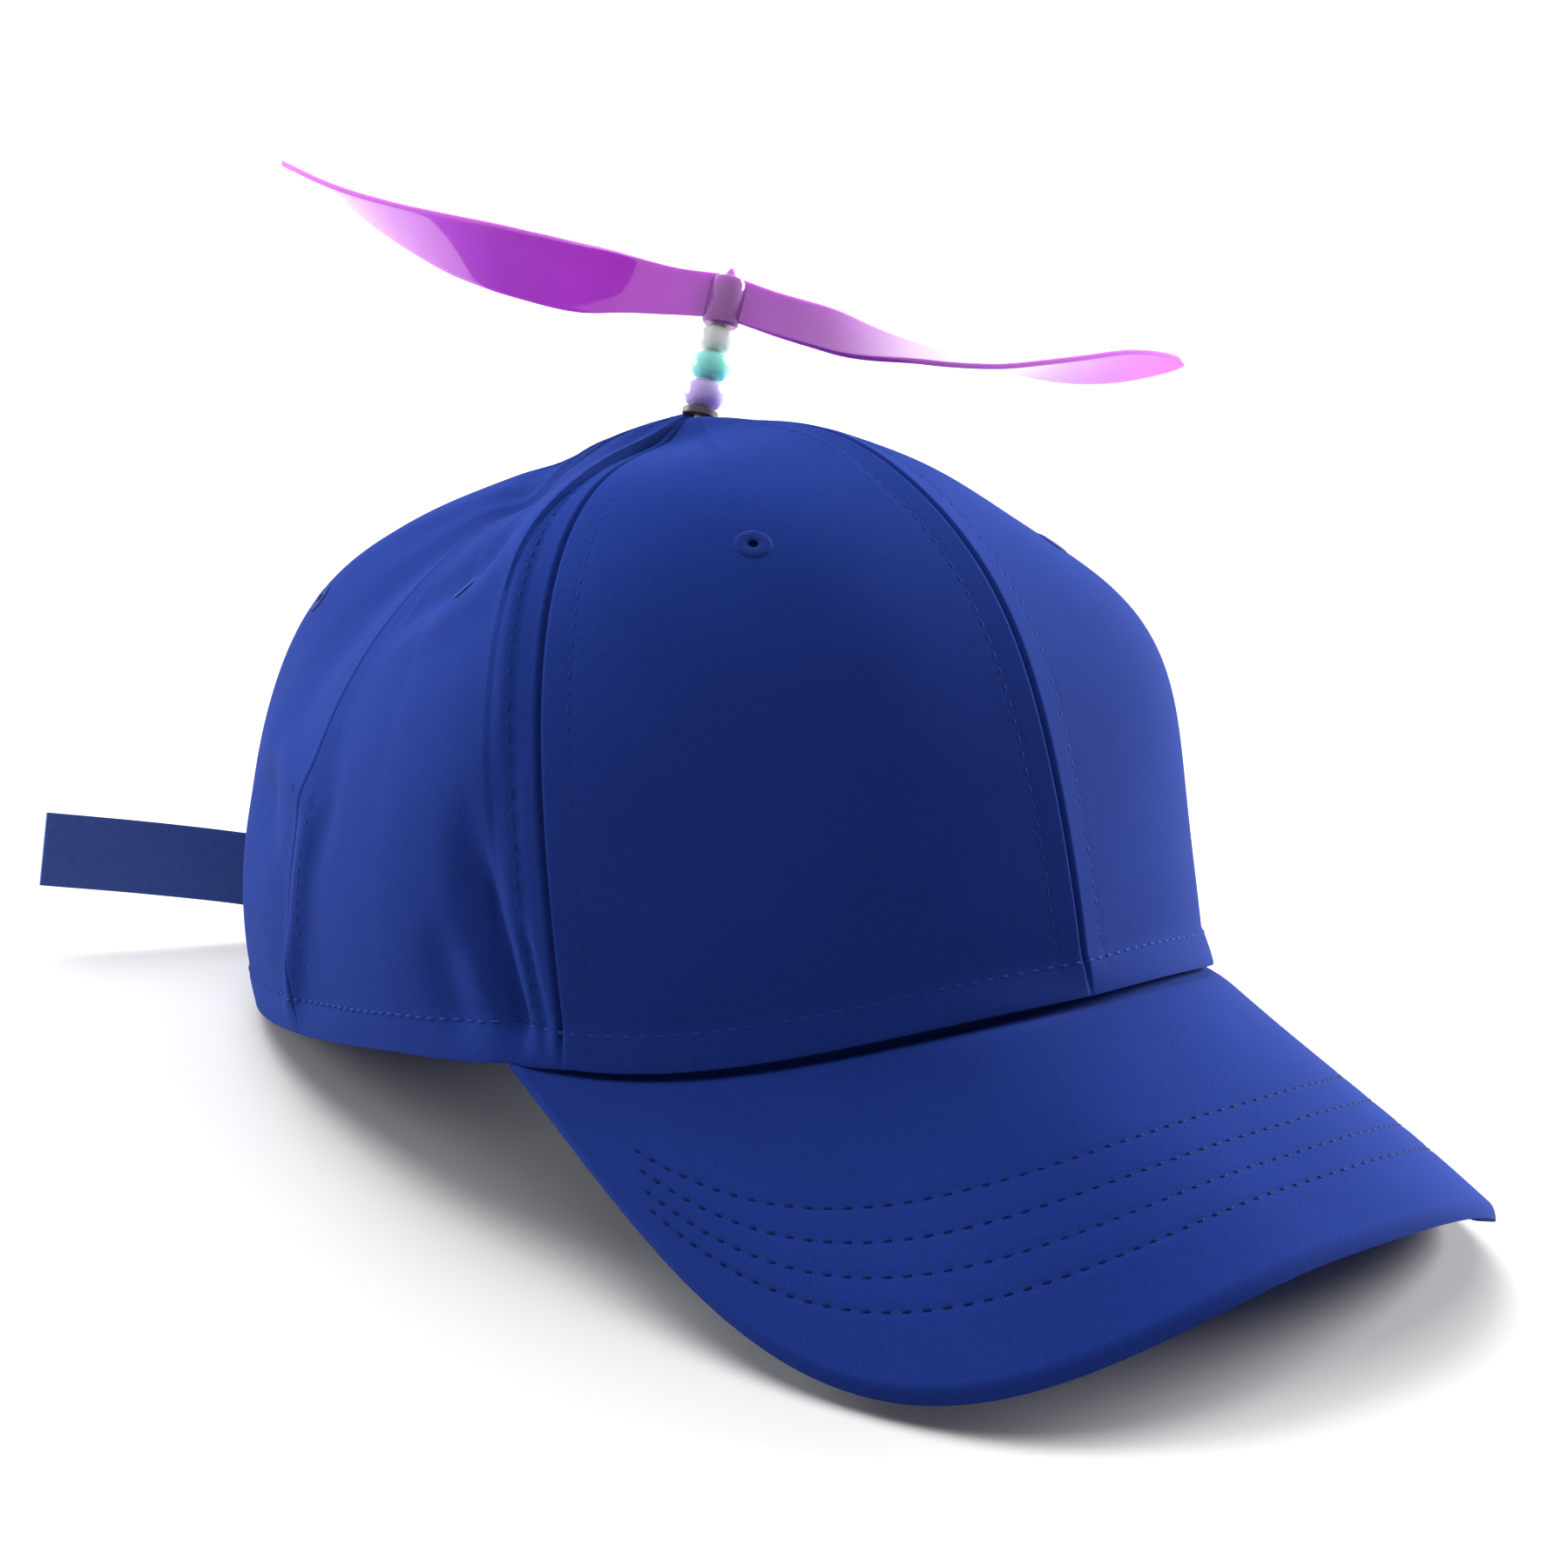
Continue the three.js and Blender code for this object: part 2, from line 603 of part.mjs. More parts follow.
function stalkPin() {
  const { radius, thickness, drop } = PIN_BASE;
  const pin = turned([
    [0, -drop - thickness], [radius, -drop - thickness], [radius, -drop],
    [PIN_RADIUS, -drop], [PIN_RADIUS, PIN_TIP], [0, PIN_TIP],
  ], BEAD_SIDES);
  return named('stalk_pin', pin, metal(0x9a9a98));
}
stalk.add(stalkPin());

function bladeSection(share) {
  const last = BLADE_SECTIONS.length - 1;
  const row = Math.min(Math.floor(share * last), last - 1);
  const at = (k, column) => BLADE_SECTIONS[THREE.MathUtils.clamp(row + k, 0, last)][column];
  const value = (column) => {
    const [before, from, to, after] = [-1, 0, 1, 2].map((k) => at(k, column));
    return blend(before, from, to, after, share * last - row);
  };
  const pitch = radians(value('pitch'));
  return { radius: value('radius'), chord: value('chord'), pitch, lift: value('lift') };
}

function blade() {
  const upper = [];
  const lower = [];
  for (let i = 0; i <= BLADE_STEPS; i++) {
    const { radius, chord, pitch, lift } = bladeSection(i / BLADE_STEPS);
    const level = BLADE_LEVEL + lift;
    const face = (side) => Array.from({ length: BLADE_STRIPS + 1 }, (_, k) => {
      const along = chord * (k / BLADE_STRIPS - 0.5);
      const rounding = k === 0 || k === BLADE_STRIPS ? BLADE_EDGE : 1;
      const out = side * rounding * BLADE_THICKNESS / 2;
      const y = along * Math.cos(pitch) - out * Math.sin(pitch);
      return point(radius, y, level + along * Math.sin(pitch) + out * Math.cos(pitch));
    });
    upper.push(face(1));
    lower.push(face(-1));
  }
  return gridSolid(upper.map((row) => row.reverse()), lower.map((row) => row.reverse()));
}

function propeller() {
  const { low, high, radius, chamfer, tip, tipRadius } = HUB;
  const hub = turned([
    [0, low], [radius - chamfer, low], [radius, low + chamfer], [radius, high - 3 * chamfer],
    [radius - chamfer, high - chamfer], [tipRadius, high], [0, tip],
  ], BEAD_SIDES);
  const mouth = low - chamfer;
  const deep = HUB.bore;
  const bore = turned([[0, mouth], [BORE_RADIUS, mouth], [BORE_RADIUS, deep], [0, deep]], BEAD_SIDES);
  const right = blade();
  const left = right.clone().rotateZ(Math.PI);
  const solid = toManifold(hub).add(toManifold(right)).add(toManifold(left)).subtract(toManifold(bore));
  return named('propeller', toGeometry(solid), plastic(0x9a48bb));
}
stalk.add(propeller());

const propellerCap = new THREE.Group();
propellerCap.add(cap);

export default propellerCap;
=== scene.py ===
import math

import bpy
import numpy as np
from mathutils import Matrix, Vector


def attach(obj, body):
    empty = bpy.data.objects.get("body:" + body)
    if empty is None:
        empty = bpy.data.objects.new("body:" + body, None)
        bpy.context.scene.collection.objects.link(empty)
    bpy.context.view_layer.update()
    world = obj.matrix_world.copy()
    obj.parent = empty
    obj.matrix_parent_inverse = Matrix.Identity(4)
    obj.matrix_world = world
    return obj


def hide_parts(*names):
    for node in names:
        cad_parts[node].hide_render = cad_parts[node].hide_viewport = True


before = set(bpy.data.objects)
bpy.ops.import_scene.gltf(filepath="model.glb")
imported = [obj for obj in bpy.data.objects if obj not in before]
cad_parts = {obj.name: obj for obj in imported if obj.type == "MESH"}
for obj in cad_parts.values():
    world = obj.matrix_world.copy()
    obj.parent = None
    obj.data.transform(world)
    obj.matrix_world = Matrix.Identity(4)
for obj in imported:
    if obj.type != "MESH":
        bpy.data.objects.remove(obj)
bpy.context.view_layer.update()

# The cap at rest
# The cap is drawn in the plane of its hem, brim towards -Y, and tipped nose up until the sides of
# the brim and the corners of the back hem stand on the floor, where the cloth lies flat.
REST_PITCH = math.radians(15.7)
REST_ROLL = math.radians(-0.95)
REST_PLACE = Vector((-0.00058, 0.00328, 0.027))
REST_TURN = Matrix.Rotation(-REST_PITCH, 3, "X") @ Matrix.Rotation(REST_ROLL, 3, "Y")


def at_rest(points):
    return np.asarray(points) @ np.array(REST_TURN).T + np.array(REST_PLACE)


# Crown panels
# Six gores of royal blue cotton twill, the two front ones stiffened, sewn edge to edge. Each seam
# is pressed open and topstitched on both sides, and the soft side and back gores carry folds.
HEM = {"front": 0.0893, "back": 0.1167, "half_width": 0.0838, "side": -0.0028, "behind": 0.003}
BACK_SQUARENESS = 0.85
BACK_TAPER = 0.22
TAPER_START = -0.03
TOP = np.array([0.0017, -0.0039, 0.1002])
TOP_HOLE = 0.0027
CLOTH = 0.0018
BACK_FULLNESS = 0.04
FRONT_SEAM = math.radians(62)
BACK_SEAM = math.radians(105)
SEAMS = [0, FRONT_SEAM, BACK_SEAM, math.pi, -BACK_SEAM, -FRONT_SEAM]
STALK_AXIS = np.array([0.349, -0.078, 0.934]) / np.linalg.norm([0.349, -0.078, 0.934])
# How far the seat leans with the stalk, and how far from the stalk that reaches
SEAT_LEAN = 0.36
SEAT_RADIUS = 0.009
BRIM_END = math.radians(68)
BRIM_SLOPE = math.tan(math.radians(37))
BRIM_CENTRE = -0.006
# How far the brim hangs at a half width, and how steeply, more so beyond the hem on the left
BRIM_ARCH = {"left": 0.046, "right": 0.043, "half_width": 0.08, "power": 2.2, "steeper": 0.45}
BRIM_BEYOND = 0.5

# Boxiness of the profile and pull towards a cone, every sixty degrees from the front
PROFILE_CURVE = np.array([0.83, 0.68, 1.12, 0.68, 0.96, 0.85])
PROFILE_CONE = np.array([0.9, 3.2, 2.3, 3.1, 3.3, 7.7]) / 1000


def blend(before, start, end, after, share):
    """A smooth curve from start to end that heeds the values on either side."""
    bend = before - 2.5 * start + 2 * end - after / 2
    turn = 1.5 * (start - end) + (after - before) / 2
    return start + share * ((end - before) / 2 + share * (bend + share * turn))


def smooth(share):
    held = np.clip(share, 0, 1)
    return held * held * (3 - 2 * held)


def unit(vectors):
    return vectors / np.linalg.norm(vectors, axis=-1, keepdims=True)


def profile(angle, column):
    place = np.mod(angle / (2 * np.pi), 1) * len(column)
    row = np.floor(place).astype(int)
    near = [column[(row + k) % len(column)] for k in (-1, 0, 1, 2)]
    return blend(*near, place - row)


def hem_plan(angle, keep):
    front = np.cos(angle) > 0
    along = np.abs(np.cos(angle))
    across = np.abs(np.sin(angle)) ** np.where(front, 1, BACK_SQUARENESS)
    x = -HEM["half_width"] * np.sign(np.sin(angle)) * across
    y = np.where(front, -HEM["front"] * along, HEM["back"] * along**BACK_SQUARENESS)
    back = np.clip((y - TAPER_START) / (HEM["back"] - TAPER_START), 0, 1)
    return x * (1 - BACK_TAPER * (1 - keep) * back), y


def brim_height(x, y):
    beyond = smooth((np.hypot(x / HEM["half_width"], y / HEM["front"]) - 1) / BRIM_BEYOND)
    power = BRIM_ARCH["power"] + BRIM_ARCH["steeper"] * beyond * (x > 0)
    drop = np.where(x > 0, BRIM_ARCH["left"], BRIM_ARCH["right"])
    arch = drop * np.abs(x / BRIM_ARCH["half_width"]) ** power
    return BRIM_CENTRE - arch + (y + HEM["front"]) * BRIM_SLOPE


def hem_height(angle):
    turn = np.abs(np.arctan2(np.sin(angle), np.cos(angle)))
    side = math.pi / 2
    at_brim = brim_height(*hem_plan(np.minimum(turn, BRIM_END) * np.sign(np.sin(angle)), 0))
    to_side = at_brim + (HEM["side"] - at_brim) * smooth((turn - BRIM_END) / (side - BRIM_END))
    to_back = HEM["side"] + (HEM["behind"] - HEM["side"]) * smooth((turn - side) / side)
    return np.where(turn <= BRIM_END, at_brim, np.where(turn < side, to_side, to_back))


def crown_form(angle, climb):
    """The crown before folds: climb goes from 0 at the hem to a right angle at the top."""
    angle, climb = np.broadcast_arrays(np.asarray(angle, float), np.asarray(climb, float))
    curve = profile(angle, PROFILE_CURVE)
    turned = np.arctan(np.tan(climb) ** (1 / curve))
    reach = np.cos(turned) ** curve
    rise = np.sin(turned) ** curve
    hem_x, hem_y = hem_plan(angle, rise)
    low = hem_height(angle)
    swell = 1 + BACK_FULLNESS * np.sin(2 * turned) * np.clip(0.3 - 0.7 * np.cos(angle), 0, 1)
    x = (hem_x * swell - TOP[0]) * reach
    y = (hem_y - TOP[1]) * reach * swell
    cone = 4 * profile(angle, PROFILE_CONE) * reach * (1 - reach)
    along = (x * STALK_AXIS[0] + y * STALK_AXIS[1]) / np.hypot(STALK_AXIS[0], STALK_AXIS[1])
    seat = SEAT_LEAN * along * np.exp(-(x * x + y * y) / SEAT_RADIUS**2)
    return np.stack([TOP[0] + x, TOP[1] + y, low + (TOP[2] - low) * rise - cone - seat], axis=-1)


# A small turn in radians, or share of a length, over which slopes are measured
STEP = 1e-3


def crown_normal(angle, climb):
    held = np.clip(climb, 2 * STEP, math.pi / 2 - 2 * STEP)
    around = crown_form(angle + STEP, held) - crown_form(angle - STEP, held)
    up = crown_form(angle, held + STEP) - crown_form(angle, held - STEP)
    return unit(np.cross(up, around))


def crown_speed(angle, climb):
    """Metres round the crown for each radian of angle."""
    around = crown_form(angle + STEP, climb) - crown_form(angle - STEP, climb)
    return np.linalg.norm(around, axis=-1) / (2 * STEP)


# Folds as lines over the crown, each place an angle and a climb in degrees, with the fold's half
# width and its height in metres; the first six are the pleats that gather at the brim's corner
FOLDS = [
    ([(72, 26), (70.8, 15.2), (69.2, 8.2), (67.8, 0)], 0.0049, -0.0029),
    ([(70.6, 19), (69.8, 14), (68.2, 7), (66.3, 0)], 0.0016, -0.0013),
    ([(68.9, 21), (67.2, 16), (65.8, 9.2), (64.8, 0)], 0.0024, 0.0005),
    ([(66.6, 15.2), (65.2, 10.5), (64.2, 5.5), (63.8, 0)], 0.0012, -0.0009),
    ([(73.4, 11), (70.8, 5.5), (68.8, 0)], 0.0022, 0.0007),
    ([(79, 13), (77, 8.2), (75.8, 4.8), (74, 0)], 0.0042, -0.0014),
    ([(70, 56), (67.4, 44.8), (66.6, 32.2), (67, 25)], 0.0032, 0.0011),
    ([(73, 75), (67.4, 60), (65.6, 45), (65.2, 35), (65, 20), (64.9, 0)], 0.0009, -0.0004),
    ([(99, 48), (90.5, 49.5), (83, 51.2), (80, 57)], 0.0055, -0.0022),
    ([(98, 42), (86.5, 42.8), (78, 43.2), (71, 46)], 0.005, 0.0011),
    ([(142, 33), (117.8, 29.8), (101.5, 24)], 0.0045, 0.0019),
    ([(103, 28), (102.5, 19.2), (103, 11.8), (107.5, 0)], 0.0034, 0.0014),
    ([(101.5, 34), (98.5, 23.5), (100, 16)], 0.0045, -0.0007),
    ([(140, 27), (122, 25), (110, 18)], 0.0042, -0.0013),
    ([(178, 72), (150, 72), (112, 70), (96, 66), (80, 62)], 0.006, -0.0024),
    ([(-70, 45), (-69, 24), (-67, 0)], 0.005, -0.0016),
    ([(-74, 14), (-71, 6), (-70, 0)], 0.0028, 0.0012),
    ([(-92, 50), (-84, 47), (-74, 48)], 0.0065, -0.0013),
    ([(-100, 30), (-118, 28), (-138, 32)], 0.0055, 0.0015),
    ([(-106, 24), (-104, 12), (-107, 0)], 0.0036, 0.0012),
]
# How steeply the panels meet at a ridge along each seam of SEAMS, how far that reaches, and how
# much of the seam's groove shows there
SEAM_RIDGE = [0.24, 0.07, 0.12, 0.08, 0.12, 0.07]
RIDGE_REACH = [0.022, 0.014, 0.014, 0.014, 0.014, 0.014]
SEAM_OPEN = [1, 1, 0.4, 0.6, 0.4, 1]
# Fuller places: angle and climb of the middle, how far each way, in degrees, and the height
SWELLS = [
    ((-42, 32.5), (26, 14), 0.0064),
    ((0, 38), (30, 16), 0.0018),
    ((-38, 62), (34, 12), 0.0026),
    ((36, 34), (22, 14), 0.0012),
    ((156, 49), (34, 13), 0.003),
    ((-150, 49), (34, 13), 0.002),
    ((125, 81), (45, 6), 0.0022),
]
SEAM_GROOVE = {"depth": 0.0012, "width": 0.00045}
TOPSTITCH = {"away": 0.0055, "depth": 0.00006, "width": 0.0007}
# How far round from a seam its relief is worked out, in radians
SEAM_TURN = 1.2
# Height of the slack of the soft panels, and how far past the front seam it sets in
SLACK = 0.0004
SLACK_START = 0.2
# The relief fades out over these climbs at the hem and at the top
HEM_FADE = math.radians(4)
TOP_FADE = math.radians(12)
HEM_BAND = {"height": 0.0004, "climb": 0.058, "fade": 0.012, "early": 0.008}


def seam_relief(away, ridge, reach, shown):
    fall = ridge * away * np.exp(-away / reach)
    groove = shown * SEAM_GROOVE["depth"] * np.exp(-((away / SEAM_GROOVE["width"]) ** 2))
    off = (away - TOPSTITCH["away"]) / TOPSTITCH["width"]
    return -fall - groove - TOPSTITCH["depth"] * np.exp(-off * off)


def fold_relief(places, line, width, height):
    line = np.radians(line)
    share = np.linspace(0, 1, 60)
    marks = np.linspace(0, 1, len(line))
    ridge = crown_form(np.interp(share, marks, line[:, 0]), np.interp(share, marks, line[:, 1]))
    away = np.full(places.shape[:-1], np.inf)
    along = np.zeros(places.shape[:-1])
    for spot, at in zip(ridge, share):
        distance = np.linalg.norm(places - spot, axis=-1)
        along = np.where(distance < away, at, along)
        away = np.minimum(away, distance)
    to_hem = line[-1, 1] == 0
    fade = smooth(along * 3) if to_hem else np.sin(np.pi * np.clip(along, 0.02, 0.98)) ** 0.7
    return height * fade * np.exp(-((away / width) ** 2))


def crown_relief(angle, climb):
    places = crown_form(angle, climb)
    total = np.zeros(places.shape[:-1])
    for seam, ridge, reach, shown in zip(SEAMS, SEAM_RIDGE, RIDGE_REACH, SEAM_OPEN):
        turn = np.abs(np.arctan2(np.sin(angle - seam), np.cos(angle - seam)))
        away = np.linalg.norm(places - crown_form(seam, climb), axis=-1)
        total += np.where(turn < SEAM_TURN, seam_relief(away, ridge, reach, shown), 0)
    for fold in FOLDS:
        total += fold_relief(places, *fold)
    for middle, width, height in SWELLS:
        off = np.radians(middle[0]) - angle
        turn = np.arctan2(np.sin(off), np.cos(off)) / np.radians(width[0])
        rise = (np.radians(middle[1]) - climb) / np.radians(width[1])
        total += height * np.exp(-turn * turn - rise * rise)
    turn = np.abs(np.arctan2(np.sin(angle), np.cos(angle)))
    soft = smooth((turn - FRONT_SEAM) / SLACK_START)
    waves = np.sin(9 * angle + 5 * climb) + np.sin(6 * climb - 4 * angle + 1) + np.sin(17 * angle)
    total += SLACK / 2 * soft * waves
    return total * smooth(climb / HEM_FADE) * smooth((math.pi / 2 - climb) / TOP_FADE)


def hem_band(climb):
    """The hem is turned in twice, so the band below its stitches is thicker."""
    past = climb - HEM_BAND["climb"] + HEM_BAND["early"]
    return HEM_BAND["height"] * (1 - smooth(past / HEM_BAND["fade"]))


def crown_point(angle, climb, out=0.0):
    angle, climb = np.broadcast_arrays(np.asarray(angle, float), np.asarray(climb, float))
    moved = (crown_relief(angle, climb) + hem_band(climb) + out)[..., None]
    return crown_form(angle, climb) + moved * crown_normal(angle, climb)


def top_climb(angle):
    x, y = hem_plan(angle, 1)
    return math.pi / 2 - TOP_HOLE / np.hypot(x - TOP[0], y - TOP[1])


def pick(piece):
    bpy.ops.object.select_all(action="DESELECT")
    piece.select_set(True)
    bpy.context.view_layer.objects.active = piece


def apply_modifier(piece, kind, **settings):
    pick(piece)
    modifier = piece.modifiers.new(kind.title(), kind)
    for name, value in settings.items():
        setattr(modifier, name, value)
    bpy.ops.object.modifier_apply(modifier=modifier.name)


def round_edges(piece, width, segments, degrees):
    limit = math.radians(degrees)
    apply_modifier(
        piece, "BEVEL", width=width, segments=segments, limit_method="ANGLE", angle_limit=limit
    )


def smooth_faces(piece, degrees):
    """Smooth shading, except over edges that are sharper than the angle."""
    pick(piece)
    bpy.ops.object.shade_smooth_by_angle(angle=math.radians(degrees))


def mesh_piece(name, vertices, faces, uv=None):
    mesh = bpy.data.meshes.new(name)
    mesh.from_pydata(np.asarray(vertices).tolist(), [], [list(face) for face in faces])
    if uv is not None:
        corners = np.empty(len(mesh.loops), dtype=np.int32)
        mesh.loops.foreach_get("vertex_index", corners)
        mesh.uv_layers.new(name="UVMap").data.foreach_set("uv", uv[corners].ravel())
    piece = bpy.data.objects.new(name, mesh)
    bpy.context.collection.objects.link(piece)
    return piece


def grid_faces(rows, columns):
    corner = np.arange(rows * columns).reshape(rows, columns)
    square = [corner[:-1, :-1], corner[1:, :-1], corner[1:, 1:], corner[:-1, 1:]]
    return np.stack(square, axis=-1).reshape(-1, 4)


def cloth_lengths(grid):
    """Metres along the cloth across and up from the middle of its lower edge."""
    across = np.cumsum(np.linalg.norm(np.diff(grid, axis=1, prepend=grid[:, :1]), axis=-1), axis=1)
    up = np.cumsum(np.linalg.norm(np.diff(grid, axis=0, prepend=grid[:1]), axis=-1), axis=0)
    middle = across[:, grid.shape[1] // 2]
    return np.stack([across - middle[:, None], up], axis=-1).reshape(-1, 2)


def cloth_sheet(name, grid, thickness, holes=(), rounding=0.25):
    """A curved sheet with its thickness to the inside, open round each hole."""
    faces = grid_faces(*grid.shape[:2])
    places = at_rest(grid).reshape(-1, 3)
    for centre, radius in holes:
        middles = places[faces].mean(axis=1)
        faces = faces[np.linalg.norm(middles - at_rest(centre), axis=1) > radius]
    piece = mesh_piece(name, places, faces, cloth_lengths(grid))
    apply_modifier(piece, "SOLIDIFY", thickness=thickness, offset=-1)
    round_edges(piece, thickness * rounding, 3, 60)
    on_floor = np.empty(3 * len(piece.data.vertices))
    piece.data.vertices.foreach_get("co", on_floor)
    on_floor[2::3] = np.maximum(on_floor[2::3], 0)
    piece.data.vertices.foreach_set("co", on_floor)
    smooth_faces(piece, 50)
    return piece


OPENING_HALF_WIDTH = 0.031
OPENING_LOW = HEM["behind"]
OPENING_RISE = 0.045
PANEL_COLUMNS = 110
PANEL_ROWS = 104
# Columns of a back panel that end on the opening, and those beside it
OPENING_COLUMNS = 56
BESIDE_COLUMNS = 66
SEAM_LAP = 0.0003
HEM_TURN = 0.0005
# The climb at which the hem starts over the brim, where the seam leaves a shadowed gap
HEM_LIFT = 0.009
HEM_LIFT_FADE = math.radians(8)


def cut_between(low, high, wanted, measure):
    """Where a rising measure reaches what is wanted, for whole arrays at a time."""
    low, high = np.broadcast_arrays(low + 0.0 * wanted, high + 0.0 * wanted)
    for _ in range(40):
        middle = (low + high) / 2
        over = measure(middle) > wanted
        low, high = np.where(over, low, middle), np.where(over, middle, high)
    return (low + high) / 2


def opening_edge(side, turns, away=0.0):
    """Angle and climb along the half-moon opening, from its lower corner to its top."""
    wide = (OPENING_HALF_WIDTH + away) * np.cos(turns)
    high = OPENING_LOW + (OPENING_RISE + away) * np.sin(turns)
    climb = 0.01 + 0 * turns
    for _ in range(25):
        angle = cut_between(
            BACK_SEAM, math.pi, -wide, lambda a: side * crown_form(side * a, climb)[..., 0]
        )
        climb = cut_between(0.0, 1.2, high, lambda c: crown_form(side * angle, c)[..., 2])
    return angle, climb


def panel_places(start, end, side):
    """Angles and climbs of one panel's grid, dense towards its seams."""
    spread = 0.5 - 0.5 * np.cos(np.linspace(0, np.pi, PANEL_COLUMNS + 1))
    angle = start + (end - start) * spread
    first = HEM_LIFT * (1 - smooth((angle - BRIM_END) / HEM_LIFT_FADE + 1))
    if end == math.pi:
        edge_angle, edge_climb = opening_edge(side, np.linspace(0, np.pi / 2, OPENING_COLUMNS))
        edge_angle[-1] = math.pi
        spread = 1 - np.cos(np.linspace(0, np.pi / 2, BESIDE_COLUMNS))
        plain = start + (edge_angle[0] - start) * spread
        angle = np.concatenate([plain, edge_angle[1:]])
        first = np.concatenate([0 * plain, edge_climb[1:]])
    angle = side * angle
    share = np.linspace(0, 1, PANEL_ROWS + 1)[:, None]
    climb = first + (top_climb(angle) - first) * share
    return np.broadcast_to(angle, climb.shape), climb


def panel_grid(start, end, side):
    angle, climb = panel_places(start, end, side)
    share = (np.abs(angle) - start) / (end - start)
    trim = side * (1 - 2 * share) * -SEAM_LAP / 2 / crown_speed(angle, climb)
    grid = crown_point(angle + trim, climb)
    grid = np.concatenate([grid[:1] - [0, 0, HEM_TURN], grid])
    return grid[:, ::-1] if side < 0 else grid


class Wire:
    """A shader socket that takes part in sums, and makes the nodes that it needs."""

    def __init__(self, tree, socket=None):
        self.tree = tree
        self.socket = socket

    def node(self, kind, inputs=None, output=0, **settings):
        made = self.tree.nodes.new(kind)
        for name, value in settings.items():
            setattr(made, name, value)
        for key, value in (inputs or {}).items():
            if isinstance(value, Wire):
                self.tree.links.new(value.socket, made.inputs[key])
            else:
                made.inputs[key].default_value = value
        return Wire(self.tree, made.outputs[output])

    def math(self, operation, *values):
        return self.node("ShaderNodeMath", dict(enumerate(values)), operation=operation)

    def __add__(self, other):
        return self.math("ADD", self, other)

    def __sub__(self, other):
        return self.math("SUBTRACT", self, other)

    def __rsub__(self, other):
        return self.math("SUBTRACT", other, self)

    def __mul__(self, other):
        return self.math("MULTIPLY", self, other)

    def sine(self):
        return self.math("SINE", self)

    def wave(self, pitch):
        return (self * (2 * math.pi / pitch)).sine()

    def mix(self, first, second):
        inputs = {"Factor": self, "A": first, "B": second}
        return self.node("ShaderNodeMix", inputs, output=2, data_type="RGBA")

    def lengths(self):
        """Places in the cloth's own lengths, whole and as their two parts."""
        uv = self.node("ShaderNodeTexCoord", output=2)
        parts = [self.node("ShaderNodeSeparateXYZ", {0: uv}, output=part) for part in (0, 1)]
        return uv, *parts

    def place(self):
        return self.node("ShaderNodeTexCoord", output=3)

    def noise(self, place, scale, detail, distortion=0.0):
        inputs = {"Vector": place, "Scale": scale, "Detail": detail, "Distortion": distortion}
        return self.node("ShaderNodeTexNoise", inputs)

    def bump(self, height, strength, distance):
        inputs = {"Height": height, "Strength": strength, "Distance": distance}
        return self.node("ShaderNodeBump", inputs)

    def feed(self, shader, inputs):
        for key, wire in inputs.items():
            self.tree.links.new(wire.socket, shader.inputs[key])

    __radd__ = __add__
    __rmul__ = __mul__


def new_material(name, shader):
    """A material of one principled shader with these values on its sockets."""
    material = bpy.data.materials.new(name)
    material.use_nodes = True
    principled = material.node_tree.nodes["Principled BSDF"]
    for key, value in shader.items():
        principled.inputs[key].default_value = value
    return material, principled, Wire(material.node_tree)


RIB_PITCH = 0.0008
YARN_PITCH = 0.00055


def twill(name, shade, colour):
    """Cotton twill: fine diagonal ribs on the cloth's own lengths, uneven dye and a soft nap."""
    sheen = {"Sheen Weight": 0.04, "Sheen Roughness": 0.4, "Sheen Tint": (0.2, 0.4, 1, 1)}
    material, principled, wire = new_material(name, {**sheen, "Specular IOR Level": 0.03})
    uv, across, up = wire.lengths()
    ribs = (across + up * 1.15).wave(RIB_PITCH)
    threads = (across - up * 0.8).wave(YARN_PITCH)
    dye = wire.noise(uv, 38, 4)
    nap = wire.noise(uv, 1400, 2)
    tone = dye * 0.5 + nap * 0.7 + ribs * 0.05
    height = ribs * 0.35 + threads * 0.15 + nap * 1.3
    wire.feed(principled, {
        "Base Color": (tone - 0.1).mix(shade, colour),
        "Roughness": 0.78 + nap * 0.18,
        "Normal": wire.bump(height, 0.22, 0.0001),
    })
    return material


TWILL_BLUES = (0.0074, 0.02, 0.134, 1), (0.0158, 0.0395, 0.24, 1)
CROWN_TWILL = twill("crown_twill", *TWILL_BLUES)
EYELETS = {"front": (33.5, 45), "side": (83, 47), "back": (150, 47)}
EYELET_CUT = 0.0019
PANELS = {"front": (0, FRONT_SEAM), "side": (FRONT_SEAM, BACK_SEAM), "back": (BACK_SEAM, math.pi)}
for place, (start, end) in PANELS.items():
    for hand, side in (("right", 1), ("left", -1)):
        eyelet = crown_point(*np.radians(EYELETS[place]) * [side, 1])
        panel = cloth_sheet(
            f"{place}_panel_{hand}", panel_grid(start, end, side), CLOTH, [(eyelet, EYELET_CUT)]
        )
        panel.data.materials.append(CROWN_TWILL)
        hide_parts(f"crown_{place}_{hand}")
        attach(panel, "cap")

# Eyelets
# A vent near the top of each panel, bound with satin stitches in the panel's own blue so that it
# stands up as a small ridged ring round an open hole.
EYELET_RING = {"radius": 0.002, "half_width": 0.0012, "stitches": 30, "ridge": 0.00008}
EYELET_FLATNESS = 0.28
EYELET_LIFT = -0.0001
# The turn over which a ring takes the slope of the folded cloth, in radians
EYELET_REACH = 0.02
STRAND_PITCH = 0.0005


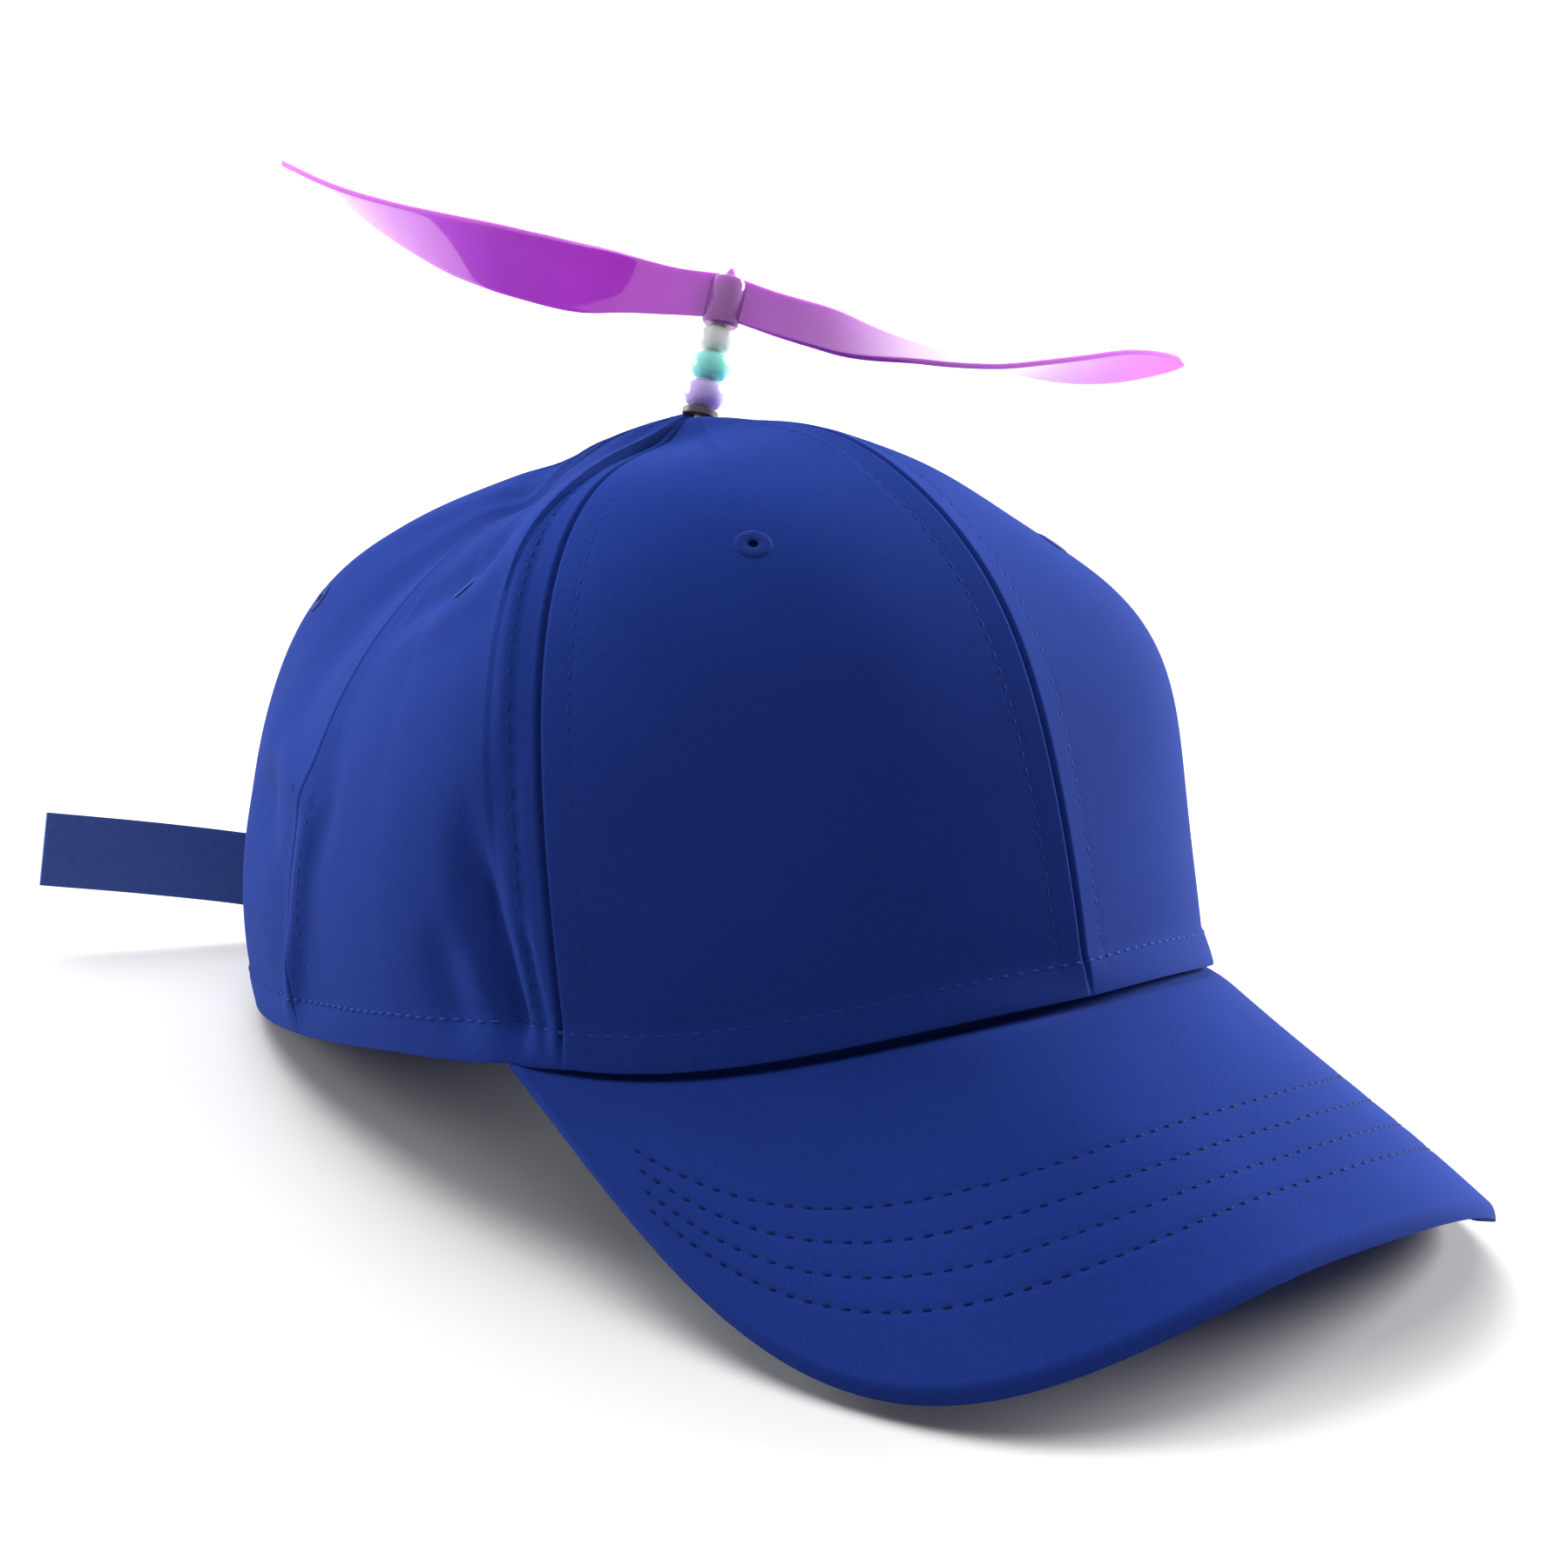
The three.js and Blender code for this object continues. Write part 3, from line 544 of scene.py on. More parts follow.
def edit(piece, part):
    """Opens a piece in edit mode with the vertices chosen that part picks by their place."""
    pick(piece)
    bpy.ops.object.mode_set(mode="EDIT")
    bpy.ops.mesh.select_mode(type="VERT")
    bpy.ops.mesh.select_all(action="DESELECT")
    bpy.ops.object.mode_set(mode="OBJECT")
    for vertex in piece.data.vertices:
        vertex.select = bool(part(vertex.co))
    bpy.ops.object.mode_set(mode="EDIT")


def copies(name, shape, turns, places):
    """One modelled shape set many times over the cap, joined into one piece and smoothed."""
    points = np.array([vertex.co for vertex in shape.data.vertices])
    corners = [np.array(face.vertices) for face in shape.data.polygons]
    placed = np.einsum("nij,vj->nvi", turns, points) + places[:, None]
    faces = [face + k * len(points) for k in range(len(places)) for face in corners]
    along = np.stack([points[:, 0], np.arctan2(points[:, 2], points[:, 1])], axis=1)
    piece = mesh_piece(name, at_rest(placed).reshape(-1, 3), faces, np.tile(along, (len(places), 1)))
    bpy.data.objects.remove(shape)
    pick(piece)
    bpy.ops.object.shade_smooth()
    return piece


def facing(normals, ahead):
    """Turns that stand a shape on the cloth, its length along ahead."""
    side = unit(np.cross(normals, ahead))
    return np.stack([np.cross(side, normals), side, normals], axis=-1)


bpy.ops.object.select_all(action="DESELECT")
bpy.ops.mesh.primitive_torus_add(
    major_radius=EYELET_RING["radius"],
    minor_radius=EYELET_RING["half_width"],
    major_segments=2 * EYELET_RING["stitches"],
    minor_segments=10,
)
ring = bpy.context.object
half_stitch = math.pi / EYELET_RING["stitches"]
edit(ring, lambda place: round(math.atan2(place.y, place.x) / half_stitch) % 2)
bpy.ops.transform.shrink_fatten(value=EYELET_RING["ridge"])
bpy.ops.mesh.select_all(action="SELECT")
bpy.ops.transform.resize(value=(1, 1, EYELET_FLATNESS))
bpy.ops.object.mode_set(mode="OBJECT")
eyelet_spots = np.radians([(s * a, c) for a, c in EYELETS.values() for s in (1, -1)])
eyelet_angle, eyelet_climb = eyelet_spots.T
eyelet_around = crown_point(eyelet_angle + EYELET_REACH, eyelet_climb)
eyelet_around -= crown_point(eyelet_angle - EYELET_REACH, eyelet_climb)
eyelet_rise = crown_point(eyelet_angle, eyelet_climb + EYELET_REACH)
eyelet_rise -= crown_point(eyelet_angle, eyelet_climb - EYELET_REACH)
eyelet_rings = copies(
    "eyelet_rings",
    ring,
    facing(unit(np.cross(eyelet_rise, eyelet_around)), np.array([0.0, 0.0, 1.0])),
    crown_point(eyelet_angle, eyelet_climb, EYELET_LIFT),
)


def thread(name, colour):
    """Spun polyester thread: strands that twist round its length, and a dull shine."""
    material, principled, wire = new_material(name, {"Specular IOR Level": 0.03})
    uv, along, around = wire.lengths()
    strands = (along * (2 * math.pi / STRAND_PITCH) + around * 2).sine() * 0.5 + 0.5
    deep = tuple(0.6 * part for part in colour[:3]) + (1,)
    wire.feed(principled, {
        "Base Color": strands.mix(deep, colour),
        "Roughness": 0.62 - strands * 0.12,
        "Normal": wire.bump(strands, 0.4, 0.0001),
    })
    return material


CROWN_THREAD = thread("crown_thread", (0.0135, 0.034, 0.205, 1))
eyelet_rings.data.materials.append(CROWN_THREAD)
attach(eyelet_rings, "cap")

# Crown stitching
# Lockstitch in blue thread: a row on each side of every panel seam, one that holds the turned-in
# hem, one round the back opening, and short rows where the strap and its tab are sewn in.
STITCH = {"pitch": 0.0029, "length": 0.0024, "width": 0.0006, "height": 0.0004}
STITCH_LIFT = -0.0001
HEM_STITCH_LIFT = 0.0001
# Climbs at which the rows along the seams start, above the opening too, and end
ROW_START = 0.05
ROW_ABOVE_OPENING = math.radians(36)
ROW_END = math.radians(85)
# The widest turn from its seam, in radians, at which a row is still sewn near the top
ROW_TURN = 0.4
OPENING_ROW_AWAY = 0.005
OPENING_ROW_START = 0.02
HEM_ROW_SHORT = math.radians(3)
# Angles of the short rows that hold the strap and its tab, and their climbs, in degrees
SEWN_IN = [145, 154]
SEWN_CLIMBS = (2.5, 11)
# The share of a stitch's length beyond which its end dips
STITCH_DIP = 0.42


def stitch_shape(size):
    """One stitch: a short thread whose two ends dip into the cloth."""
    length, width, height = size["length"], size["width"], size["height"]
    bpy.ops.object.select_all(action="DESELECT")
    bpy.ops.mesh.primitive_uv_sphere_add(segments=6, ring_count=6, rotation=(0, math.pi / 2, 0))
    bpy.ops.object.transform_apply(rotation=True)
    shape = bpy.context.object
    edit(shape, lambda place: True)
    bpy.ops.transform.resize(value=(length / 2, width / 2, height / 2))
    bpy.ops.object.mode_set(mode="OBJECT")
    edit(shape, lambda place: abs(place.x) > STITCH_DIP * length)
    bpy.ops.transform.translate(value=(0, 0, -height / 2))
    bpy.ops.object.mode_set(mode="OBJECT")
    return shape


def stitch_row(points, normals, pitch):
    """Turns and places of the stitches along one line over the cloth."""
    steps = np.linalg.norm(np.diff(points, axis=0), axis=1)
    length = np.concatenate([[0], np.cumsum(steps)])
    marks = np.arange(pitch / 2, length[-1], pitch)

    def at(values, spots):
        return np.stack([np.interp(spots, length, column) for column in values.T], axis=1)

    ahead = at(points, marks + pitch / 4) - at(points, marks - pitch / 4)
    up = at(normals, marks)
    up -= ahead * (up * ahead).sum(1, keepdims=True) / (ahead * ahead).sum(1, keepdims=True)
    return facing(unit(up), ahead), at(points, marks)


def sew(name, size, rows):
    """One piece of all the stitches along some rows."""
    turns, places = [np.concatenate(column) for column in zip(*rows)]
    return copies(name, stitch_shape(size), turns, places)


def crown_row(angle, climb, lift=STITCH_LIFT):
    angle, climb = np.broadcast_arrays(angle, climb)
    return stitch_row(crown_point(angle, climb, lift), crown_normal(angle, climb), STITCH["pitch"])


crown_rows = []
for seam in SEAMS:
    first = ROW_ABOVE_OPENING if seam == math.pi else ROW_START
    climb = np.linspace(first, ROW_END, 200)
    turn = TOPSTITCH["away"] / crown_speed(seam, climb)
    sewn = turn < ROW_TURN
    for hand in (-1, 1):
        crown_rows.append(crown_row(seam + hand * turn[sewn], climb[sewn]))
hem_end = opening_edge(1, np.array([0.0]))[0][0] - HEM_ROW_SHORT
hem_row = crown_row(np.linspace(-hem_end, hem_end, 500), HEM_BAND["climb"], HEM_STITCH_LIFT)
sewn_climbs = np.radians(np.linspace(*SEWN_CLIMBS, 40))
for side in (1, -1):
    turns = np.linspace(OPENING_ROW_START, np.pi / 2, 80)
    edge_angle, edge_climb = opening_edge(side, turns, OPENING_ROW_AWAY)
    crown_rows.append(crown_row(side * edge_angle, edge_climb))
    for angle in SEWN_IN:
        crown_rows.append(crown_row(side * math.radians(angle), sewn_climbs))
crown_stitches = sew("crown_stitches", STITCH, crown_rows)
crown_stitches.data.materials.append(CROWN_THREAD)
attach(crown_stitches, "cap")
hem_stitches = sew("hem_stitches", STITCH, [hem_row])
hem_stitches.data.materials.append(thread("hem_thread", (0.021, 0.049, 0.275, 1)))
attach(hem_stitches, "cap")

# Brim
# A curved board covered with the same twill on both faces, sewn under the hem of the front panels
# and quilted to the board by rows of stitches that run along it.
BRIM_LENGTH = 0.0502
BRIM_END_WIDTH = {"right": 0.0009, "left": 0.0024}
BRIM_FLARE = {"right": 0.0057, "left": 0.0077}
BRIM_OUTLINE_POWER = {"right": 2.78, "left": 2.65}
BRIM_THICKNESS = 0.0024
BRIM_TUCK = 0.004
BRIM_COLUMNS = 240
BRIM_ROWS = 134
BRIM_STITCH_ROWS = [0.513, 0.605, 0.697, 0.784]
BRIM_ROW_ENDS = (0.07, 0.93)
QUILT_DEPTH = 0.00018
QUILT_WIDTH = 0.0006
QUILT_FADE = 0.03
# The cover lies plain where the brim is shorter than the first, and its relief grows over the second
BRIM_PLAIN = 0.006
BRIM_PLAIN_FADE = 0.012
JOIN_DEPTH = 0.0016
JOIN_WIDTH = 0.0034
# The cover is pulled round the edge of the board
EDGE_DROP = 0.0016
EDGE_REACH = 0.003


def brim_inner(share):
    angle = BRIM_END * (1 - 2 * share)
    out = crown_normal(angle, 0 * angle)
    out[..., 2] = 0
    return crown_form(angle, 0 * angle) - BRIM_TUCK * unit(out)


def brim_outer(share):
    end_x, end_y = hem_plan(np.array(BRIM_END), 0)
    turn = np.pi * (share - 0.5)
    power = 2 / np.where(turn < 0, BRIM_OUTLINE_POWER["right"], BRIM_OUTLINE_POWER["left"])
    across = np.abs(np.sin(turn)) ** power
    ahead = np.clip(np.cos(turn), 0, 1) ** power
    end_width = np.where(turn < 0, BRIM_END_WIDTH["right"], BRIM_END_WIDTH["left"])
    flare = np.where(turn < 0, BRIM_FLARE["right"], BRIM_FLARE["left"])
    half = end_width - end_x + flare * np.sin(2 * np.abs(turn))
    y = end_y - (BRIM_LENGTH + HEM["front"] + end_y) * ahead
    return np.stack([np.sign(turn) * across * half, y, 0 * y], axis=-1)


def brim_surface(share, out):
    """The top of the brim: share goes along it and out from the hem to the edge."""
    place = brim_inner(share) * (1 - out)[..., None] + brim_outer(share) * out[..., None]
    place[..., 2] = brim_height(place[..., 0], place[..., 1])
    return place


brim_share, brim_out = np.meshgrid(
    np.linspace(0, 1, BRIM_COLUMNS + 1), 0.5 - 0.5 * np.cos(np.linspace(0, np.pi, BRIM_ROWS + 1))
)
brim_flat = brim_surface(brim_share, brim_out)
brim_up = unit(np.cross(np.gradient(brim_flat, axis=0), np.gradient(brim_flat, axis=1)))
brim_length = np.linalg.norm(brim_flat[-1] - brim_flat[0], axis=-1)
from_hem = np.linalg.norm(brim_flat - brim_flat[:1], axis=-1)
ends = smooth((brim_length - BRIM_PLAIN) / BRIM_PLAIN_FADE)
from_rows = [(brim_out - row) * brim_length / QUILT_WIDTH for row in BRIM_STITCH_ROWS]
past_ends = np.abs(brim_share - 0.5) + 0.5 - BRIM_ROW_ENDS[1]
quilting = sum(np.exp(-(off**2)) for off in from_rows) * smooth(0.5 - past_ends / QUILT_FADE)
joined = np.exp(-(((from_hem - BRIM_TUCK) / JOIN_WIDTH) ** 2))
from_edge = np.linalg.norm(brim_flat - brim_flat[-1:], axis=-1)
rounded = np.clip(1 - from_edge / EDGE_REACH, 0, 1) ** 2
sunk = ends * (QUILT_DEPTH * quilting + JOIN_DEPTH * joined + EDGE_DROP * rounded)
brim_top = brim_flat - sunk[..., None] * brim_up
brim = cloth_sheet("curved_brim", brim_top, BRIM_THICKNESS, rounding=0.45)
brim.data.materials.append(twill("brim_twill", *TWILL_BLUES))
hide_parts("brim")
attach(brim, "cap")

# Brim stitching
# Four rows of dark blue lockstitch through cover and board, each at the same share of the way from
# the hem to the outer edge all along, that end short of the corners of the brim. The thread's dark
# blue is painted shade, standing in for the shadowed dimples the stitches sink into.
BRIM_STITCH = {"pitch": 0.0031, "length": 0.0022, "width": 0.0007, "height": 0.0004}


def brim_row(out):
    """The line of stitches at one share of the way from the hem to the edge."""
    share = np.linspace(*BRIM_ROW_ENDS, 400)
    out = out + 0 * share
    along = brim_surface(share + STEP, out) - brim_surface(share - STEP, out)
    ahead = brim_surface(share, out + STEP) - brim_surface(share, out - STEP)
    up = unit(np.cross(ahead, along))
    return stitch_row(brim_surface(share, out) - QUILT_DEPTH * up, up, BRIM_STITCH["pitch"])


brim_stitches = sew("brim_stitches", BRIM_STITCH, [brim_row(out) for out in BRIM_STITCH_ROWS])
# Painted shade: the thread is darker than the cloth to stand in for the shadowed stitch dimples
brim_stitches.data.materials.append(thread("brim_thread_painted_shade", (0.0065, 0.0155, 0.098, 1)))
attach(brim_stitches, "cap")

# Back strap and tab
# Flat blue webbing: a strap sewn inside the left back panel that passes through the slide and
# ends free, and a short tab sewn inside the right one that is looped round the slide's bar.
WEBBING_WIDTH = 0.015
WEFT_PITCH = 0.0009
WARP_PITCH = 0.0007
STRAP_CUT = 0.1232
TAB_CUT = 0.0405
STRAP_THICKNESS = 0.0013
TAB_THICKNESS = 0.0009
STRAP_INSET = 0.0019
SLIDE = {"length": 0.013, "height": 0.02, "thickness": 0.002}
SLIDE_CENTRE = np.array([-0.012, 0.1156, 0.0182])
SLIDE_BAR = 0.0022
SLIDE_RAIL = 0.0018
STRAP_SEWN = [(-143, 0.011), (-149, 0.0112), (-156, 0.0118)]
TAB_SEWN = [(143, 0.012), (149, 0.013), (156, 0.0145)]
STRAP_MIDDLE = [0.015, 0.1108, 0.0136]
# Along towards the wearer's right, out to the back and up, from the middle of the slide
STRAP_AT_SLIDE = np.array([
    [-7.9, -2.5, 0], [-4.8, -2.3, 0], [0, 1, 0], [3, 3.9, 0], [6.9, 5, 0.6], [18, 8.4, 4],
]) / 1000
STRAP_FREE = [[-0.049, 0.129, 0.0271], [-0.0685, 0.1352, 0.0317]]
TAB_LOOP_RADIUS = 0.0025
TAB_LOOP_TURNS = np.radians(np.arange(-15, 186, 20))


def inside_back(degrees, height):
    """A place for the middle of a strap, just inside a back panel."""
    angle = np.array(math.radians(degrees))
    climb = cut_between(0.0, 1.0, np.array(height), lambda c: crown_point(angle, c)[..., 2])
    place = crown_point(angle, climb, -CLOTH - STRAP_INSET)
    place[2] = height
    return place


def curve_through(places, steps=14):
    """A smooth line through places, with no overshoot where they lie close together."""
    ends = [2 * places[0] - places[1]], [2 * places[-1] - places[-2]]
    knots = np.concatenate([ends[0], places, ends[1]])
    share = np.linspace(0, 1, steps, endpoint=False)[:, None]
    line = []
    for before, start, end, after in zip(knots, knots[1:], knots[2:], knots[3:]):
        steps_here = (start - before, end - start, after - end)
        gaps = [np.linalg.norm(step) ** 0.5 for step in steps_here]
        chord = (end - start) / gaps[1]
        leave = (start - before) / gaps[0] - (end - before) / (gaps[0] + gaps[1]) + chord
        arrive = chord - (after - start) / (gaps[1] + gaps[2]) + (after - end) / gaps[2]
        leave, arrive = leave * gaps[1], arrive * gaps[1]
        cubic = 2 * (start - end) + leave + arrive
        square = 3 * (end - start) - 2 * leave - arrive
        line.append(start + share * (leave + share * (square + share * cubic)))
    return np.concatenate(line + [places[-1:]])


def webbing_grid(line, thickness):
    """The outer face of a strip that stands on its edge along a line."""
    along = unit(np.gradient(line, axis=0))
    up = unit(np.array([0, 0, 1.0]) - along * along[:, 2:])
    out = np.cross(along, up)
    width = np.linspace(-0.5, 0.5, 13)[:, None, None] * WEBBING_WIDTH
    return (line + out * thickness / 2 + width * up)[:, ::-1]


def webbing(name, colour, shade):
    """Narrow woven tape: fine cross ribs, lengthwise threads and worn fibres."""
    dull = {"Sheen Weight": 0.08, "Specular IOR Level": 0.12}
    material, principled, wire = new_material(name, dull)
    uv, along, up = wire.lengths()
    weave = along.wave(WEFT_PITCH) * up.wave(WARP_PITCH)
    fibres = wire.noise(uv, 900, 3)
    tone = fibres * 0.8 + weave * 0.12 + 0.1
    wire.feed(principled, {
        "Base Color": tone.mix(shade, colour),
        "Roughness": 0.7 + fibres * 0.2,
        "Normal": wire.bump(weave + fibres * 0.8, 0.4, 0.00012),
    })
    return material


WEBBING = webbing("blue_webbing", (0.082, 0.14, 0.44, 1), (0.043, 0.078, 0.27, 1))
strap_line = curve_through(np.array(
    [inside_back(*spot) for spot in STRAP_SEWN]
    + [np.array(STRAP_MIDDLE)]
    + [SLIDE_CENTRE + spot * [-1, 1, 1] for spot in STRAP_AT_SLIDE]
    + [np.array(spot) for spot in STRAP_FREE]
))
bar_at = SLIDE["length"] / 2 - SLIDE_BAR / 2
tab_loop = [TAB_LOOP_RADIUS * np.array([math.sin(t), -math.cos(t), 0]) for t in TAB_LOOP_TURNS]
tab_line = curve_through(np.array(
    [inside_back(*spot) for spot in TAB_SEWN]
    + [SLIDE_CENTRE + spot - [bar_at, 0, 0] for spot in tab_loop]
))
for name, line, thickness, node, cut, held in (
    ("back_webbing", strap_line, STRAP_THICKNESS, "back_strap", STRAP_CUT, "stretched"),
    ("webbing_tab", tab_line, TAB_THICKNESS, "strap_tab", TAB_CUT, "folded"),
):
    strip = cloth_sheet(name, webbing_grid(line, thickness), thickness)
    strip.data.materials.append(WEBBING)
    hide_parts(node)
    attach(strip, "cap")

# Slide buckle
# A plain stamped frame of dull brass, rounded by tumbling, held in the loop of the tab; the strap
# goes behind its far bar and out through the window.
SLIDE_EDGE = 0.0007
bpy.ops.object.select_all(action="DESELECT")
bpy.ops.mesh.primitive_plane_add(size=1)
slide = bpy.context.object
slide.name = "slide_buckle"
edit(slide, lambda place: True)
bpy.ops.transform.resize(value=(SLIDE["length"], SLIDE["height"], 1))
bpy.ops.mesh.inset(thickness=SLIDE_RAIL, depth=0)
bpy.ops.transform.resize(
    value=((SLIDE["length"] / 2 - SLIDE_BAR) / (SLIDE["length"] / 2 - SLIDE_RAIL), 1, 1)
)
bpy.ops.mesh.delete(type="FACE")
bpy.ops.object.mode_set(mode="OBJECT")
apply_modifier(slide, "SOLIDIFY", thickness=SLIDE["thickness"], offset=0)
round_edges(slide, SLIDE_EDGE, 4, 40)
place_slide = Matrix.Translation(Vector(SLIDE_CENTRE)) @ Matrix.Rotation(math.pi / 2, 4, "X")
REST = Matrix.Translation(REST_PLACE) @ REST_TURN.to_4x4()
slide.data.transform(REST @ place_slide)
smooth_faces(slide, 40)
brass, brass_shader, wire = new_material("dull_brass", {"Metallic": 1.0})
grain = wire.noise(wire.place(), 900, 5)
tarnish = wire.noise(wire.place(), 140, 3)
wire.feed(brass_shader, {
    "Base Color": tarnish.mix((0.3, 0.22, 0.09, 1), (0.52, 0.42, 0.2, 1)),
    "Roughness": 0.22 + tarnish * 0.2 + grain * 0.1,
    "Normal": wire.bump(grain, 0.12, 0.00005),
})
slide.data.materials.append(brass)
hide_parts("strap_buckle")
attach(slide, "cap")

# Stalk
# A steel pin riveted through the top of the crown with a flat head inside, and a thin dark washer
# under the beads. It leans to the wearer's left as its cloth seat lets it.
BLADE_DIRECTION = np.array([0.726, -0.608, -0.322])
stalk_x = unit(BLADE_DIRECTION - STALK_AXIS * (BLADE_DIRECTION @ STALK_AXIS))
stalk_turn = Matrix(np.stack([stalk_x, np.cross(STALK_AXIS, stalk_x), STALK_AXIS], axis=1))
STALK = REST @ Matrix.Translation(Vector(TOP)) @ stalk_turn.to_4x4()
PIN_RADIUS = 0.001
PIN_HEAD = {"radius": 0.004, "thickness": 0.0012, "drop": 0.0039, "rounding": 0.0005}
PIN_TIP = 0.0245
PIN_CHAMFER = 0.0004
BORE = 0.0013


def turned(name, outline, sides=56, closed=False):
    """A turned piece on the stalk: a circle drawn out along the axis from step to step."""
    bpy.ops.object.select_all(action="DESELECT")
    radius, height = outline[0]
    fill = "NOTHING" if closed else "NGON"
    bpy.ops.mesh.primitive_circle_add(
        vertices=sides, radius=radius, location=(0, 0, height), fill_type=fill
    )
    bpy.ops.object.transform_apply(location=True)
    piece = bpy.context.object
    piece.name = name
    edit(piece, lambda place: True)
    for wide, high in outline[1:]:
        bpy.ops.mesh.extrude_region_move(TRANSFORM_OT_translate={"value": (0, 0, high - height)})
        bpy.ops.transform.resize(value=(wide / radius, wide / radius, 1))
        radius, height = wide, high
    bpy.ops.mesh.select_all(action="SELECT")
    bpy.ops.mesh.remove_doubles(threshold=1e-6)
    bpy.ops.mesh.normals_make_consistent(inside=False)
    bpy.ops.object.mode_set(mode="OBJECT")
    return piece


def on_stalk(piece, angle=40):
    piece.data.transform(STALK)
    smooth_faces(piece, angle)


head_top = -PIN_HEAD["drop"]
head_low = head_top - PIN_HEAD["thickness"]
pin = turned("steel_pin", [
    (0.7 * PIN_HEAD["radius"], head_low),
    (PIN_HEAD["radius"], head_low + PIN_HEAD["rounding"]),
    (PIN_HEAD["radius"], head_top),
    (PIN_RADIUS, head_top),
    (PIN_RADIUS, PIN_TIP - PIN_CHAMFER),
    (0.6 * PIN_RADIUS, PIN_TIP),
])
on_stalk(pin)
steel, steel_shader, wire = new_material("pin_steel", {"Metallic": 1.0})
drawn = wire.noise(wire.place(), 700, 4)
wire.feed(steel_shader, {
    "Base Color": drawn.mix((0.36, 0.36, 0.37, 1), (0.6, 0.6, 0.6, 1)),
    "Roughness": 0.2 + drawn * 0.25,
})
pin.data.materials.append(steel)
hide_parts("stalk_pin")
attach(pin, "cap")

WASHER = {"low": 0.0002, "high": 0.0016, "radius": 0.0033, "edge": 0.0002}
washer = turned("dark_washer", [
    (BORE, WASHER["low"]),
    (WASHER["radius"] - WASHER["edge"], WASHER["low"]),
    (WASHER["radius"], WASHER["low"] + WASHER["edge"]),
    (WASHER["radius"], WASHER["high"] - WASHER["edge"]),
    (WASHER["radius"] - WASHER["edge"], WASHER["high"]),
    (BORE, WASHER["high"]),
    (BORE, WASHER["low"]),
], closed=True)
on_stalk(washer)


def moulded(name, colour, shade, roughness, shine=0.5, tint=(1, 1, 1, 1)):
    """Moulded plastic: faint flow marks in the colour and a slightly uneven shine."""
    gloss = {"IOR": 1.5, "Specular IOR Level": shine, "Specular Tint": tint}
    material, principled, wire = new_material(name, gloss)
    place = wire.place()
    flow = wire.noise(place, 90, 3, 0.6)
    fine = wire.noise(place, 1600, 2)
    wire.feed(principled, {
        "Base Color": flow.mix(shade, colour),
        "Roughness": roughness + fine * 0.06,
        "Normal": wire.bump(flow + fine * 0.05, 0.05, 0.0004),
    })
    return material


brown = moulded("washer_brown", (0.06, 0.045, 0.05, 1), (0.03, 0.025, 0.03, 1), 0.45)
washer.data.materials.append(brown)
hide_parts("stalk_washer")
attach(washer, "cap")

# Beads
# Three moulded plastic pony beads threaded on the pin, lavender below, then mint and white, each
# a rounded barrel with a bore.
BEADS = {
    "lavender": {"low": 0.0019, "high": 0.0071, "radius": 0.0037, "colour": (0.5, 0.37, 0.92, 1)},
    "mint": {"low": 0.0074, "high": 0.0125, "radius": 0.00355, "colour": (0.22, 0.86, 0.65, 1)},
    "white": {"low": 0.0128, "high": 0.0176, "radius": 0.00325, "colour": (0.95, 0.94, 0.89, 1)},
}
BEAD_ROUNDNESS = 0.72


def let_light_in(material, weight, radius, scale):
    """Light enters the plastic and leaves it again nearby."""
    shader = material.node_tree.nodes["Principled BSDF"]
    shader.inputs["Subsurface Weight"].default_value = weight
    shader.inputs["Subsurface Radius"].default_value = radius
    shader.inputs["Subsurface Scale"].default_value = scale


for name, bead in BEADS.items():
    middle = (bead["low"] + bead["high"]) / 2
    half = (bead["high"] - bead["low"]) / 2
    outline = [(BORE, bead["low"])]
    for turn in np.linspace(-np.pi / 2, np.pi / 2, 25)[1:-1]:
        bulge = (bead["radius"] - BORE) * math.cos(turn) ** BEAD_ROUNDNESS
        outline.append((BORE + bulge, middle + half * math.sin(turn)))
    outline += [(BORE, bead["high"]), (BORE, bead["low"])]
    pony = turned(f"{name}_bead", outline, closed=True)
    on_stalk(pony)
    shade = tuple(0.8 * part for part in bead["colour"][:3]) + (1,)
    glaze = moulded(f"{name}_bead", bead["colour"], shade, 0.18)
    let_light_in(glaze, 1.0, (1.0, 1.0, 1.0), 0.01)
    pony.data.materials.append(glaze)
    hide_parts(f"bead_{name}")
    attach(pony, "cap")

# Propeller
# One moulding of glossy purple plastic: a round hub with a small pointed cap, and two thin twisted
# blades that flatten and turn up towards their tips. It spins freely on the pin.
HUB_OUTLINE = [
    (BORE, 0.025),
    (BORE, 0.0179),
    (0.003, 0.0179),
    (0.0034, 0.0183),
    (0.0034, 0.026),
    (0.003, 0.0268),
    (0.0015, 0.0272),
    (0.0011, 0.0276),
    (0.0003, 0.0289),
]
BLADE_LEVEL = 0.0233
BLADE_THICKNESS = 0.001
BLADE_EDGE = 0.00035
# Radius and chord in millimetres, pitch in degrees and lift in millimetres
BLADE_SECTIONS = np.array([
    [2, 8.2, 82, 0], [10, 8.8, 73, -1], [18.5, 11, 58, -1.6], [27, 15.4, 37, -2.4],
    [35, 18.8, 25, -2.4], [43.5, 20, 20, -2.1], [52, 20.4, 14, -1.5], [60, 20.2, 6, -0.3],
    [67.5, 18.4, -1, 1.4], [75, 14, -9, 3.7], [81, 8.6, -13, 5.5], [84.6, 4, -15, 6.5],
    [86, 1, -16, 6.9],
])


def blade_section(share):
    last = len(BLADE_SECTIONS) - 1
    row = min(int(share * last), last - 1)
    near = [BLADE_SECTIONS[min(max(row + k, 0), last)] for k in (-1, 0, 1, 2)]
    return blend(*near, share * last - row)


